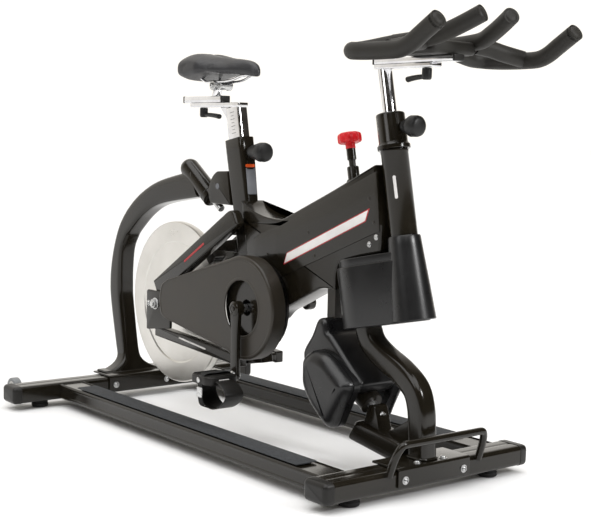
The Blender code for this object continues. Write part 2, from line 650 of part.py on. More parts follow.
head_low, head_high = on_head(HEAD_BOTTOM), on_head(HEAD_TOP)
head_hole = bore(STEERER_RADIUS + TURN_GAP)
head_length = (head_high - head_low).length
finish(lathe("head_tube", [(head_hole, 0), (head_hole, head_length), (HEAD_RADIUS, head_length),
                           (HEAD_RADIUS, 0)],
             head_low, STEER_AXIS), BLACK_PAINT, LEAN)

WHEEL_POINT = FLYWHEEL_CENTRE
stay_top = (bridge_x + 0.040, bridge_z + 0.034)
stay_low = (WHEEL_POINT[0] - 0.014, WHEEL_POINT[1] + 0.040)
chain_stay = [(WHEEL_POINT[0] - 0.015, 0.246), (WHEEL_POINT[0] - 0.015, 0.217), (low_x + 0.016, 0.190),
              (low_x + 0.016, 0.220)]
plate = [(-0.046, 0.036), (0.030, 0.036), (0.076, 0.0), (0.076, -0.062), (-0.046, -0.078)]
for word, side in SIDES:
    near, far = side * (STAY_INNER), side * (STAY_INNER + STAY_THICKNESS)
    stay = prism("seat_stay_" + word, band([stay_low, stay_top], [0.025, 0.025]), min(near, far), max(near,
                                                                                                      far))
    finish(stay, BLACK_PAINT, LEAN)
    stay = prism("chain_stay_" + word, chain_stay, min(near, far), max(near, far))
    near, far = far - side * 0.002, far + side * (GAP + DROPOUT_THICKNESS)
    join(stay, prism("dropout", [(WHEEL_POINT[0] + x, WHEEL_POINT[1] + z) for x, z in plate],
                     min(far, far - side * DROPOUT_THICKNESS), max(far, far - side * DROPOUT_THICKNESS)))
    join(stay, prism("seam", [(WHEEL_POINT[0] + x, z) for x, z in ((-0.012, 0.2435), (-0.012, 0.235),
                                                                (0.060, 0.231), (0.060, 0.2390))],
                     min(near, far), max(near, far)))
    wheel_hub = at(WHEEL_POINT[0], WHEEL_POINT[1])
    cut(stay, rod("axle_hole", wheel_hub + Vector((0, side * 0.03, 0)), wheel_hub + Vector((0, side * 0.12,
                                                                                            0)),
                  bore(AXLE_RADIUS + GAP)))
    finish(stay, BLACK_PAINT, LEAN, smooth=False)

PLATE_Y = STAY_INNER + STAY_THICKNESS + GAP + DROPOUT_THICKNESS
axle = rod("flywheel_axle", at(*WHEEL_POINT, -PLATE_Y - 0.014), at(*WHEEL_POINT, PLATE_Y + 0.014),
           AXLE_RADIUS)
for side in (-1, 1):
    start = side * (PLATE_Y + GAP)
    join(axle, rod("nut", at(*WHEEL_POINT, start), at(*WHEEL_POINT, start + side * 0.008), 0.014, sides=6))
finish(axle, STEEL, LEAN)

wheel_hole = bore(AXLE_RADIUS + TURN_GAP, 48)
half = FLYWHEEL_WIDTH / 2
SPROCKET_SOLID = SPROCKET_RADIUS - CHAIN_HALF_HEIGHT - 0.001
finish(lathe("flywheel", [
    (wheel_hole, -0.0448), (0.015, -0.0448), (0.015, CHAIN_Y - 0.003), (SPROCKET_SOLID, CHAIN_Y - 0.003),
    (SPROCKET_SOLID, CHAIN_Y + 0.003), (0.020, CHAIN_Y + 0.003), (0.032, -half - 0.006), (0.034, -half),
    (FLYWHEEL_RADIUS - 0.002, -half), (FLYWHEEL_RADIUS, 0.002 - half), (FLYWHEEL_RADIUS, half - 0.002),
    (FLYWHEEL_RADIUS - 0.002, half), (0.034, half), (0.032, half + 0.006), (0.020, 0.0448), (wheel_hole,
                                                                                             0.0448)],
    at(*WHEEL_POINT), (0, 1, 0), 48), STEEL, FLYWHEEL)


def belt(offset):
    """The outline of a loop round the chain ring and the sprocket, this far outside their pitch."""
    big, small = Vector((0, BB_Z)), Vector(WHEEL_POINT)
    r_big, r_small = RING_RADIUS + offset, SPROCKET_RADIUS + offset
    span = big - small
    lean = math.degrees(math.atan2(span.y, span.x))
    open_angle = math.degrees(math.acos((r_big - r_small) / span.length))
    front = arc(big.x, big.y, r_big, lean - 180 + open_angle, lean + 180 - open_angle, 16)
    back = arc(small.x, small.y, r_small, lean + 180 - open_angle, lean + 180 + open_angle, 6)
    return front + back


chain = prism("drive_chain", [belt(CHAIN_HALF_HEIGHT), belt(-CHAIN_HALF_HEIGHT)],
              CHAIN_Y - CHAIN_WIDTH / 2, CHAIN_Y + CHAIN_WIDTH / 2)
finish(chain, STEEL, LEAN)

# Chain guard: a dish round the cranks with a tapering tail, open at the back
tail = Vector((-0.375, 0.330))
disc_points = arc(0, BB_Z, GUARD_RADIUS, -118, 112, 18)
guard_outline = disc_points + [(tail.x + 0.02, tail.y + 0.058), (tail.x - 0.006, tail.y + 0.040),
                               (tail.x - 0.012, tail.y), (tail.x - 0.006, tail.y - 0.040),
                               (tail.x + 0.02, tail.y - 0.050)]
middle = Vector((-0.10, 0.345))
inner = [tuple(middle + (Vector(p) - middle) * (1 - GUARD_WALL / (Vector(p) - middle).length))
         for p in guard_outline]
guard = prism("chain_guard", guard_outline, GUARD_FACE, GUARD_FACE + GUARD_DEPTH)
cut(guard, prism("hollow", inner, GUARD_FACE + GUARD_WALL, GUARD_FACE + GUARD_DEPTH + 0.01))
cut(guard, rod("window", at(0, BB_Z, GUARD_FACE - 0.01), at(0, BB_Z, GUARD_FACE + 0.01), GUARD_HOLE,
               sides=32))
for x, z in ((-0.105, 0.372), (-0.345, 0.318)):
    join(guard, rod("standoff", at(x, z, GUARD_FACE + 0.001), at(x, z, GUARD_FACE + GUARD_DEPTH - 0.0006),
                    0.006,
                    sides=12))
finish(guard, BLACK_PLASTIC, LEAN)

# Rear pivot bracket, brake and front pivot strut
bracket_faces = [seat_face(z, -1, TUBE_DEPTH + 2 * GAP) for z in (0.600, 0.690)]
bracket = prism("rear_pivot_bracket", [bracket_faces[0], bracket_faces[1], (-0.237, 0.688), (-0.258, 0.670),
                                       (-0.2735, 0.640), (-0.2735, 0.6195), (-0.262, 0.602)], -0.022, 0.022)
cut(bracket, rod("pin_hole", rear_pivot - LEAN_AXIS * 0.02, rear_pivot + LEAN_AXIS * 0.056,
                 bore(REAR_PIN_RADIUS + TURN_GAP)))
cut(bracket, rod("face", rear_pivot - LEAN_AXIS * 0.08, rear_pivot + LEAN_AXIS * 0.001,
                 CAPSULE_RADIUS + 0.006))
finish(bracket, BLACK_PAINT, LEAN)

BRAKE_ANGLE = math.radians(41)
brake_out = Vector((math.cos(BRAKE_ANGLE), 0, math.sin(BRAKE_ANGLE)))
rim_point = at(*WHEEL_POINT) + brake_out * FLYWHEEL_RADIUS
tube_back = [seat_face(z, -1, TUBE_DEPTH + 2 * GAP) for z in (0.476, 0.512)]
plate_end = rim_point + brake_out * 0.030
brake = prism("brake_bracket", [tube_back[0], tube_back[1], (plate_end.x - BB_X - 0.004,
                                                             plate_end.z + 0.016),
                                (plate_end.x - BB_X + 0.010, plate_end.z - 0.004)], -0.016, 0.016)
finish(brake, BLACK_PAINT, LEAN, smooth=False)
BRAKE = child_body("brake", rim_point, LEAN)
shoe = box("brake_shoe", (-0.022, -0.020, 0.004), (0.022, 0.020, 0.020), 0.002)
join(shoe, box("cheek", (-0.022, -0.020, -0.016), (0.022, -half - 0.003, 0.006)),
     box("cheek", (-0.022, half + 0.003, -0.016), (0.022, 0.020, 0.006)))
turn = Matrix.Translation(rim_point) @ Matrix.Rotation(math.pi / 2 - BRAKE_ANGLE, 4, "Y")
shoe.data.transform(turn)
for step in shoe.modifiers:
    if step.type == "BOOLEAN":
        step.object.data.transform(turn)
finish(shoe, BLACK_PAINT, BRAKE, smooth=False)

strut_path = [(0.254, 0.455), (0.254, 0.330), (0.262, 0.290), (0.290, 0.240)]
strut = prism("pivot_strut", band(strut_path, [0.014, 0.014, 0.016, 0.018]), -0.022, 0.022)
sleeve_low, sleeve_high = pivot - LEAN_AXIS * 0.026, pivot - LEAN_AXIS * 0.140
join(strut, rod("sleeve", sleeve_low, sleeve_high, SLEEVE_RADIUS))
cut(strut, rod("pin_bore", pivot - LEAN_AXIS * 0.02, pivot - LEAN_AXIS * 0.160,
               bore(PIN_RADIUS + TURN_GAP)))
beam_clear = prism("beam_clear", [(0.200, 0.423), (0.200, 0.500), (0.300, 0.500), (0.300, 0.423)], -0.05,
                   0.05)
cut(strut, beam_clear)
finish(strut, BLACK_PAINT, LEAN)

# Cover round the front pivot: an upper body and two lobes that straddle the spine
upper = [(0.249, 0.350), (0.222, 0.310), (0.190, 0.262), (0.212, 0.215), (0.240, 0.186), (0.375, 0.186),
         (0.405, 0.212), (0.398, 0.232), (0.300, 0.318), (0.284, 0.326)]
lobe = [(0.236, 0.262), (0.236, 0.195), (0.262, 0.158), (0.325, 0.108), (0.352, 0.114), (0.380, 0.170),
        (0.402, 0.208), (0.396, 0.228), (0.330, 0.275), (0.268, 0.285)]


def inset(outline, wall):
    """The outline moved inwards by a wall, measured towards its middle."""
    centre = sum((Vector(p) for p in outline), Vector((0, 0))) / len(outline)
    return [tuple(centre + (Vector(p) - centre) * (1 - wall / (Vector(p) - centre).length)) for p in outline]


COVER_HALF = 0.060
LOBE_HALF = 0.105
NOTCH_HALF = 0.052
cover = prism("lower_housing", upper, -COVER_HALF, COVER_HALF)
join(cover, prism("lobe", lobe, NOTCH_HALF, LOBE_HALF), prism("lobe", lobe, -LOBE_HALF, -NOTCH_HALF))
cut(cover, prism("hollow", inset(upper, 0.004), 0.004 - COVER_HALF, COVER_HALF - 0.004),
    prism("hollow", inset(lobe, 0.005), NOTCH_HALF + 0.003, LOBE_HALF - 0.003),
    prism("hollow", inset(lobe, 0.005), 0.003 - LOBE_HALF, -NOTCH_HALF - 0.003),
    box("passage", at(0.270, 0.200, -LOBE_HALF + 0.01), at(0.340, 0.240, LOBE_HALF - 0.01)),
    rod("pin_way", pivot + LEAN_AXIS * 0.03, pivot - LEAN_AXIS * 0.13, 0.034),
    box("strut_way", at(0.2365, 0.270, -0.0225), at(0.2715, 0.380, 0.0225)))
finish(cover, BLACK_PLASTIC, LEAN, smooth=False)

# ---- Steering ----
steer_low = on_head(0.470)
collar_high = on_head(COLLAR_TOP)
steer_length = (collar_high - steer_low).length - 0.004
hole = bore(STEERER_BORE)
steerer = lathe("steerer_tube", [(hole, 0), (hole, steer_length), (STEERER_RADIUS, steer_length),
                                 (STEERER_RADIUS, 0)], steer_low, STEER_AXIS)
neck = on_head(0.440)
arm_end = at(BALL[0] + 0.018, BALL[1])
arm = box("arm", (0, -0.014, -0.008), ((neck - arm_end).length, 0.014, 0.008))
slope = math.atan2(neck.z - arm_end.z, neck.x - arm_end.x)
arm.data.transform(Matrix.Translation(arm_end) @ Matrix.Rotation(-slope, 4, "Y"))
join(steerer, rod("plug", on_head(0.430), on_head(0.480), STEERER_RADIUS), arm,
     rod("socket", at(BALL[0], BALL[1] - 0.012), at(BALL[0], BALL[1] + 0.014), 0.027))
cut(steerer, rod("cup", at(BALL[0], BALL[1] - 0.03), at(BALL[0], BALL[1] + 0.03), 0.021),
    rod("bore", on_head(0.490), on_head(0.500) + STEER_AXIS * 0.4, hole))
HEAD_PIN_Z = 0.811
head_pin_at = on_head(HEAD_PIN_Z)
cut(steerer, rod("pin_hole", head_pin_at, head_pin_at + Vector((0.06, 0, 0)), bore(0.005 + TURN_GAP, 12),
                 sides=12))
finish(steerer, BLACK_PAINT, STEER)

collar_low = on_head(HEAD_TOP) + STEER_AXIS * 0.001
collar_length = (collar_high - collar_low).length
hole = bore(STEERER_RADIUS + GAP)
collar = lathe("head_collar", [(hole, 0), (hole, collar_length), (COLLAR_RADIUS, collar_length),
                               (COLLAR_RADIUS, 0.014), (COLLAR_RADIUS + 0.0045, 0.010),
                               (COLLAR_RADIUS + 0.0045, 0)], collar_low, STEER_AXIS)
cut(collar, rod("pin_hole", head_pin_at, head_pin_at + Vector((0.06, 0, 0)), bore(0.005 + TURN_GAP, 12),
                sides=12))
finish(collar, BLACK_PAINT, STEER)

# Steering shell: a flared neck, a drum over the front post's top and a smaller lid
drum_low = at(DRUM_X + 0.013, 0.341)
drum_high = drum_low + STEER_AXIS * 0.142
lid_high = drum_high + STEER_AXIS * 0.016
neck_low, neck_high = on_head(0.383), on_head(0.565)


def shell_parts(wall):
    """The neck, drum, lid and throat, all this much inside the outer surface."""
    low = -STEER_AXIS * (0.01 if wall else 0)
    top = -STEER_AXIS * wall
    throat = box("throat", (0, -0.040 + wall, 0), ((neck_low - drum_low).length, 0.040 - wall,
                                                   0.120 - wall))
    throat.data.transform(Matrix.Translation(drum_low + low) @ Matrix.Rotation(-TILT, 4, "Y"))
    return [rod("neck", neck_low + low, neck_high + top, 0.050 - wall, 0.037 - wall, sides=32),
            rod("drum", drum_low + low, drum_high + top, DRUM_RADIUS - wall, sides=36),
            rod("lid", drum_high - STEER_AXIS * 0.02, lid_high + top, DRUM_RADIUS - 0.014 - wall, sides=32),
            throat]


outer, inner = shell_parts(0.0), shell_parts(SHELL_WALL)
shell = outer[1]
shell.name = "steering_shell"
join(shell, outer[0], outer[2], outer[3])
cut(shell, *inner)
cut(shell, rod("head_way", on_head(0.540), on_head(0.580), bore(HEAD_RADIUS + 0.001)))
finish(shell, BLACK_PLASTIC, STEER)

stem_low, stem_high = on_head(0.560), on_head(STEM_TOP)
stem = rod("handlebar_post", stem_low, stem_high, STEM_RADIUS)
join(stem, box("guide", at(0.375, STEM_TOP - 0.004, -0.017), at(0.560, STEM_TOP + 0.006, 0.017)))
finish(stem, CHROME, STEM)

PIN_TIP = 0.0005


def pull_pin(name, axis_point, tip_x, knob_x, end_x, parent, radius):
    """A sprung locking pin with a domed pull knob, its axis along X."""
    tip, length = tip_x, end_x - tip_x
    root = knob_x - tip_x
    profile = [(0.0005, 0), (0.005, 0), (0.005, root), (0.0125, root), (0.015, root + 0.012),
               (0.019, length - 0.030), (radius, length - 0.022), (radius, length - 0.010),
               (radius - 0.006, length - 0.002), (0.0005, length)]
    knob_body = child_body(name, (tip, 0, axis_point.z), parent)
    pin = lathe(name, [(0.002, 0)] + profile[1:-1] + [(0.002, length)], (tip, 0, axis_point.z), (1, 0, 0),
                20)
    finish(pin, BLACK_PLASTIC, knob_body)


post_front = pin_hole.x + SEAT_POST_DEPTH / 2 / math.cos(SEAT_TILT) + PIN_TIP + 0.001
sleeve_front = pin_hole.x + (TUBE_DEPTH + 0.010) / 2 / math.cos(SEAT_TILT) + 0.004
pull_pin("seat_pin", pin_hole, post_front, sleeve_front, -0.0400 + BB_X, LEAN, 0.025)
stem_front = head_pin_at.x + STEM_RADIUS / math.cos(TILT) + PIN_TIP + 0.001
collar_front = head_pin_at.x + COLLAR_RADIUS / math.cos(TILT) + 0.006
pull_pin("head_pin", head_pin_at, stem_front, collar_front, 0.516 + BB_X, STEER, 0.024)

SLIDER_LOW = STEM_TOP + 0.006 + GAP
slider = box("handlebar_slider", at(0.371, SLIDER_LOW, -0.015), at(0.625, SLIDER_LOW + 0.014, 0.015), 0.003)
finish(slider, CHROME, BARS)


def bar(name, points):
    """A foam-covered tube of the handlebar."""
    return tube(name, points, GRIP_RADIUS)


BAR_X = 0.505
half_path = [at(BAR_X + 0.265, 1.016, 0.204), at(BAR_X + 0.215, 0.986, 0.205), at(BAR_X + 0.160, 0.959,
                                                                                  0.207),
             at(BAR_X + 0.090, 0.960, 0.209), at(BAR_X + 0.030, 0.962, 0.211), at(BAR_X - 0.004, 0.964,
                                                                                  0.205),
             at(BAR_X - 0.008, 0.966, 0.180), at(BAR_X - 0.004, 0.975, 0.130), at(BAR_X, BAR_Z, 0.075),
             at(BAR_X, BAR_Z + 0.006, 0.035)]
bars = bar("handlebar", mirrored(half_path))
for side in (-1, 1):
    join(bars, bar("horn", [at(BAR_X, BAR_Z, side * 0.075), at(BAR_X + 0.060, BAR_Z + 0.003, side * 0.076),
                            at(BAR_X + 0.114, BAR_Z + 0.008, side * 0.073),
                            at(BAR_X + 0.170, BAR_Z + 0.026, side * 0.058),
                            at(BAR_X + 0.227, BAR_Z + 0.053, side * 0.042)]),
         bar("link", [at(BAR_X + 0.095, BAR_Z - 0.002, side * 0.085), at(BAR_X + 0.108, 0.975,
                                                                         side * 0.140),
                      at(BAR_X + 0.120, 0.962, side * 0.205)]))
join(bars, box("pad", at(BAR_X - 0.018, SLIDER_LOW + 0.014 + GAP, -0.075), at(BAR_X + 0.110, BAR_Z + 0.004,
                                                                              0.075)))
finish(bars, FOAM, BARS)


def lever(name, top, parent, arm_length, sign, drop):
    """A clamp lever: a hub on an upright axis and an arm that ends in a rounded tip."""
    hub_body = child_body(name, top, parent)
    hub = rod(name, top - Vector((0, 0, 0.026)), top, 0.011, sides=16)
    end = top + Vector((sign * arm_length, 0, -0.018 - drop))
    start = top + Vector((0, 0, -0.019))
    join(hub, rod("arm", start, end, 0.006, 0.008, sides=12))
    finish(hub, BLACK_PLASTIC, hub_body)


lever("handlebar_lever", at(0.531, STEM_TOP - 0.004 - GAP), STEM, 0.065, -1, 0.004)

# ---- Saddle ----
post_low = 0.560
seat_post = seat_bar("seat_post", post_low, SEAT_POST_TOP, SEAT_POST_DEPTH, SEAT_POST_WIDTH)
GUIDE_TOP = 0.870
join(seat_post, box("guide", at(-0.375, GUIDE_TOP - 0.012, -0.016), at(-0.146, GUIDE_TOP, 0.016)))
finish(seat_post, CHROME, SEAT, smooth=False)
lever("seat_lever", at(-0.329, GUIDE_TOP - 0.012 - GAP), SEAT, 0.080, 1, 0.010)

SEAT_SLIDER_LOW = GUIDE_TOP + GAP
seat_slider = box("seat_slider", at(-0.409, SEAT_SLIDER_LOW, -0.014), at(-0.229, SEAT_SLIDER_LOW + 0.018,
                                                                         0.014),
                  0.003)
RAIL_ROD = 0.0035
RAIL_Z = SADDLE_BOTTOM - 0.018
join(seat_slider, rod("stem", at(-0.273, SEAT_SLIDER_LOW + 0.010), at(-0.262, 0.912), 0.0125),
     box("clamp", at(-0.275, 0.904, -0.030), at(-0.222, RAIL_Z + 0.001, 0.030)))
rail_top_z = SADDLE_BOTTOM - RAIL_ROD - GAP - 0.0005
rails = tube("rails", mirrored([
    at(-0.325, rail_top_z, 0.034), at(-0.300, rail_top_z - 0.002, 0.030), at(-0.284, RAIL_Z, 0.024),
    at(-0.215, RAIL_Z, 0.022), at(-0.165, RAIL_Z + 0.004, 0.018), at(-0.130, rail_top_z, 0.014),
    at(-0.112, rail_top_z, 0.008)]), RAIL_ROD, 2)
join(seat_slider, rails)
finish(seat_slider, CHROME, SADDLE, smooth=False)


def saddle_half_width(t):
    """Half width of the saddle, from its tail (t 0) to its nose (t 1)."""
    wings = SADDLE_HALF_WIDTH * (1 - t ** 1.7) ** 1.6
    return max(wings, 0.0) * min(1.0, (t / 0.06) ** 0.4 if t < 0.06 else 1.0) + 0.021 * math.sin(
        math.pi * min(1.0, t ** 0.35)) ** 0.2 * (1 if 0 < t < 1 else 0)


steps = [i / 14 for i in range(1, 14)]
edge = [(SADDLE_REAR + (SADDLE_NOSE - SADDLE_REAR) * t, min(SADDLE_HALF_WIDTH,
                                                            saddle_half_width(t))) for t in steps]
plan = [(SADDLE_REAR, 0.045)] + edge + [(SADDLE_NOSE, 0.008)]
outline = plan + [(x, -y) for x, y in reversed(plan)]
saddle_curve = bpy.data.curves.new("saddle", "CURVE")
saddle_curve.dimensions = "2D"
saddle_curve.fill_mode = "BOTH"
saddle_curve.extrude = SADDLE_HEIGHT / 2
spline = saddle_curve.splines.new("POLY")
spline.points.add(len(outline) - 1)
for point, (x, y) in zip(spline.points, outline):
    point.co = (x + BB_X, y, 0.0, 1.0)
spline.use_cyclic_u = True
saddle = bpy.data.objects.new("saddle", saddle_curve)
saddle.location.z = SADDLE_BOTTOM + SADDLE_HEIGHT / 2
PARTS.objects.link(saddle)
bpy.context.view_layer.update()
saddle = settle(saddle)
add_bevel(saddle, 0.007)
finish(saddle, LEATHER, SADDLE)

# ---- Cranks and pedals ----
arm_length = CRANK_LENGTH
arm_outline = arc(0, 0, 0.017, -60, 240, 10)
small_end = arc(0, -arm_length, 0.014, 210, 330, 6)


def crank(name, side, reach):
    """A crank arm from the spindle to the pedal's axle; reach is -1 down or +1 up."""
    outline = [(x, BB_Z + z * -reach) for x, z in arm_outline + small_end]
    low, high = side * (CRANK_Y - CRANK_THICKNESS / 2), side * (CRANK_Y + CRANK_THICKNESS / 2)
    arm = prism(name, outline, min(low, high), max(low, high))
    join(arm, rod("axle", at(0, BB_Z + reach * arm_length, side * CRANK_Y),
                  at(0, BB_Z + reach * arm_length, side * (PEDAL_INNER + PEDAL_WIDTH)), PEDAL_AXLE_RADIUS,
                  sides=16))
    return arm


crank_right = crank("crank_arm_right", -1, -1)
spindle_end = CRANK_Y - CRANK_THICKNESS / 2 - GAP
join(crank_right, rod("spindle", at(0, BB_Z, -CRANK_Y), at(0, BB_Z, spindle_end), SPINDLE_RADIUS),
     rod("chain_ring", at(0, BB_Z, CHAIN_Y - 0.0025), at(0, BB_Z, CHAIN_Y + 0.0025),
         RING_RADIUS - CHAIN_HALF_HEIGHT - 0.001, sides=48))
finish(crank_right, BLACK_PAINT, CRANKS)
crank_left = crank("crank_arm_left", 1, 1)
finish(crank_left, BLACK_PAINT, CRANKS)

for word, side in SIDES:
    reach = side
    centre = at(0, BB_Z + reach * arm_length, 0)
    centre.y = side * (PEDAL_INNER + PEDAL_WIDTH / 2)
    turn_body = child_body("pedal_" + word, centre, CRANKS)
    half_y = PEDAL_WIDTH / 2 - 0.001
    pedal = box("pedal_" + word, centre - Vector((0.044, half_y, 0.012)), centre + Vector((0.044, half_y,
                                                                                           0.012)), 0.004)
    cut(pedal, rod("bore", centre - Vector((0, 0.06, 0)), centre + Vector((0, 0.06, 0)),
                   bore(PEDAL_AXLE_RADIUS + TURN_GAP, 16), sides=16))
    finish(pedal, BLACK_PLASTIC, turn_body, smooth=False)
    hoop = smooth_path([(0.0445, 0.0), (0.066, 0.006), (0.088, 0.024), (0.074, 0.050), (0.036, 0.070),
                        (0.0, 0.066),
                        (-0.026, 0.040), (-0.030, 0.0125)], 3)
    shape = [(x - BB_X + centre.x, centre.z + reach * z) for x, z in band(hoop, [0.0015] * len(hoop))]
    y_in, y_out = centre.y - 0.027, centre.y + 0.027
    cage = prism("toe_cage_" + word, shape, y_in, y_out)
    finish(cage, BLACK_PLASTIC, turn_body)

# ---- Resistance knob ----
PUSH = child_body("brake_stem", knob_low, LEAN)
stem_rod = rod("brake_stem", knob_low - STEER_AXIS * 0.055, knob_low + STEER_AXIS * 0.090, 0.008, sides=16)
finish(stem_rod, STEEL, PUSH)
KNOB = child_body("resistance_knob", knob_low + STEER_AXIS * 0.077, PUSH)
knob_points = []
for i in range(36):
    angle = 2 * math.pi * i / 36
    reach = 0.0258 + 0.0027 * math.cos(6 * angle)
    knob_points.append((reach * math.cos(angle), reach * math.sin(angle)))
curve = bpy.data.curves.new("resistance_knob", "CURVE")
curve.dimensions = "2D"
curve.fill_mode = "BOTH"
curve.extrude = 0.0125
spline = curve.splines.new("POLY")
spline.points.add(len(knob_points) - 1)
for point, (x, y) in zip(spline.points, knob_points):
    point.co = (x, y, 0.0, 1.0)
spline.use_cyclic_u = True
knob = bpy.data.objects.new("resistance_knob", curve)
knob.matrix_world = Matrix.Translation(knob_low + STEER_AXIS * 0.0905) @ Matrix.Rotation(-TILT, 4, "Y")
PARTS.objects.link(knob)
bpy.context.view_layer.update()
knob = settle(knob)
join(knob, rod("skirt", knob_low + STEER_AXIS * 0.038, knob_low + STEER_AXIS * 0.080, 0.0125, sides=20))
cut(knob, rod("bore", knob_low + STEER_AXIS * 0.030, knob_low + STEER_AXIS * 0.0906, bore(0.0083, 16),
              sides=16))
finish(knob, RED, KNOB)
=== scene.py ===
# %% [markdown]
# # A leaning indoor exercise bike
# The bike stands on a fixed base. Its frame hangs between a rear arch and a front pivot and
# leans from side to side, and the handlebar steers as it leans. The working solids come from
# the frame file. This lesson makes the surfaces that people see: painted tubes, moulded
# covers, foam grips, chrome posts, a turned flywheel and a padded saddle.

# %% Load the working frame
import json
import math
import bmesh
import bpy
import numpy as np
from mathutils import Matrix, Vector


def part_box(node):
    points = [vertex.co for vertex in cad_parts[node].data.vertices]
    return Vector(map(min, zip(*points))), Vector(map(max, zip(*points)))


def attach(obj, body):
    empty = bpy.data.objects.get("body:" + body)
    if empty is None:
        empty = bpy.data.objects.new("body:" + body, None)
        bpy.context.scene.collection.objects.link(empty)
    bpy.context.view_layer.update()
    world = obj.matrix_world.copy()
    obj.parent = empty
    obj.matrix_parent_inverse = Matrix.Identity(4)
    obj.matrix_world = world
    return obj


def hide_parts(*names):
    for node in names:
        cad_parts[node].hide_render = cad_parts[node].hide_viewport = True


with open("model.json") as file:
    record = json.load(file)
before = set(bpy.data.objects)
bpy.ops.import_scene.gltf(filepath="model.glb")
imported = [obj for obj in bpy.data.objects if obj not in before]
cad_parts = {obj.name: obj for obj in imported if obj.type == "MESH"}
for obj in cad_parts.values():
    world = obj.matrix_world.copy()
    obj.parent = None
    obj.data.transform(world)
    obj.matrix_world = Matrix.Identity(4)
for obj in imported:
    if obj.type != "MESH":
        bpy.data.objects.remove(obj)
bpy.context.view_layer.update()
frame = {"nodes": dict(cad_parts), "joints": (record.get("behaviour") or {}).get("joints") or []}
MM = 0.001

# %% [markdown]
# Places are given as on a bicycle drawing: how far ahead of the bottom bracket, and how high
# above the floor. The joints in the frame's record say where each axis is, so the surfaces
# land on the working solids.

# %% Places and axes
JOINTS = {joint["name"]: joint for joint in frame["joints"]}
BB_X, _, BB_Z = JOINTS["crank_spin"]["pos_m"]
LEAN_POINT = np.array(JOINTS["lean"]["pos_m"])
LEAN_AXIS = np.array(JOINTS["lean"]["axis"])
STEER_POINT = np.array(JOINTS["steer"]["pos_m"])
STEER_AXIS = np.array(JOINTS["steer"]["axis"])
SEAT_AXIS = np.array(JOINTS["seat_height"]["axis"])
WHEEL_POINT = np.array(JOINTS["flywheel_spin"]["pos_m"])


def at(x, z, y=0.0):
    """Place from distance ahead of the bottom bracket, height and side."""
    return np.array([x + BB_X, y, z])


def span(node):
    """The lowest and highest corner of a working solid, as arrays."""
    low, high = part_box(node)
    return np.array(low), np.array(high)


def on_head(z):
    """Point on the steering axis at a height: the axis point plus a share of its direction."""
    return STEER_POINT + STEER_AXIS * (z - STEER_POINT[2]) / STEER_AXIS[2]


def on_seat(z):
    """Point on the seat tube's axis at a height."""
    return at(-0.1465, 0.690) + SEAT_AXIS * (z - 0.690) / SEAT_AXIS[2]


# %% [markdown]
# ## Finishes
# A finish starts from what the real one is. Colours are written as sRGB hex values, as a
# paint chart gives them, and one function turns them into the linear values that a shader
# needs. One small function adds a node with its settings and links.

# %% Colour and node helpers
def linear(code):
    """sRGB hex to linear: a low straight part, then a 2.4 power."""
    parts = np.array([int(code[i:i + 2], 16) / 255 for i in (1, 3, 5)])
    low, high = parts / 12.92, ((parts + 0.055) / 1.055) ** 2.4
    return (*np.where(parts <= 0.04045, low, high), 1.0)


def add(tree, kind, settings=None, links=None):
    """Add one node: settings by attribute or input name, links as input name to output socket."""
    made = tree.nodes.new("ShaderNode" + kind)
    for key, value in (settings or {}).items():
        if isinstance(key, str) and hasattr(made, key):
            setattr(made, key, value)
        else:
            made.inputs[key].default_value = value
    for key, socket in (links or {}).items():
        tree.links.new(socket, made.inputs[key])
    return made


def new_finish(name, colour, roughness, **shader_settings):
    """An empty Principled finish with its plain values."""
    mat = bpy.data.materials.new(name)
    mat.use_nodes = True
    shader = mat.node_tree.nodes["Principled BSDF"]
    shader.inputs["Base Color"].default_value = linear(colour)
    shader.inputs["Roughness"].default_value = roughness
    for key, value in shader_settings.items():
        shader.inputs[key.replace("_", " ")].default_value = value
    return mat, mat.node_tree, shader


def vary(tree, shader, place, scale, colours, roughness):
    """Slow variation from a noise: it mixes two colours, and moves the roughness between two values."""
    noise = add(tree, "TexNoise", {"Scale": scale, "Detail": 3.0}, {"Vector": place})
    ramp = add(tree, "ValToRGB", links={"Fac": noise.outputs["Fac"]})
    for element, position, colour in zip(ramp.color_ramp.elements, (0.35, 0.68), colours):
        element.position = position
        element.color = linear(colour)
    tree.links.new(ramp.outputs["Color"], shader.inputs["Base Color"])
    steps = add(tree, "MapRange", {"From Min": 0.3, "From Max": 0.7, "To Min": roughness[0],
                                   "To Max": roughness[1]}, {"Value": noise.outputs["Fac"]})
    tree.links.new(steps.outputs["Result"], shader.inputs["Roughness"])


def bump(tree, shader, height, strength, distance):
    """Drive the shader's normal with a height."""
    step = add(tree, "Bump", {"Strength": strength, "Distance": distance}, {"Height": height})
    tree.links.new(step.outputs["Normal"], shader.inputs["Normal"])


def place_of(tree):
    """Object coordinates, in metres."""
    return add(tree, "TexCoord").outputs["Object"]


# %% [markdown]
# Powder coat is sprayed as dry powder and baked. It gives a deep gloss with a faint orange
# peel, a few millimetres across. Real peel is under a tenth of a millimetre high, so the bump
# is kept weak.

# %% Painted steel
def powder_coat(name, colours, roughness):
    """Gloss polyester powder coat on steel."""
    mat, tree, shader = new_finish(name, colours[0], roughness[0], IOR=1.5, Coat_Weight=0.15,
                                   Coat_Roughness=0.08, Specular_IOR_Level=0.30)
    place = place_of(tree)
    vary(tree, shader, place, 9.0, colours, roughness)
    peel = add(tree, "TexNoise", {"Scale": 1 / (2.5 * MM), "Detail": 1.0}, {"Vector": place})
    bump(tree, shader, peel.outputs["Fac"], 0.05, 0.0004)
    return mat


GLOSS_BLACK = powder_coat("gloss_black_powder_coat", ("#18150f", "#1e1a13"), (0.14, 0.22))
SATIN_BLACK = powder_coat("satin_black_powder_coat", ("#1f1b15", "#25211a"), (0.30, 0.42))

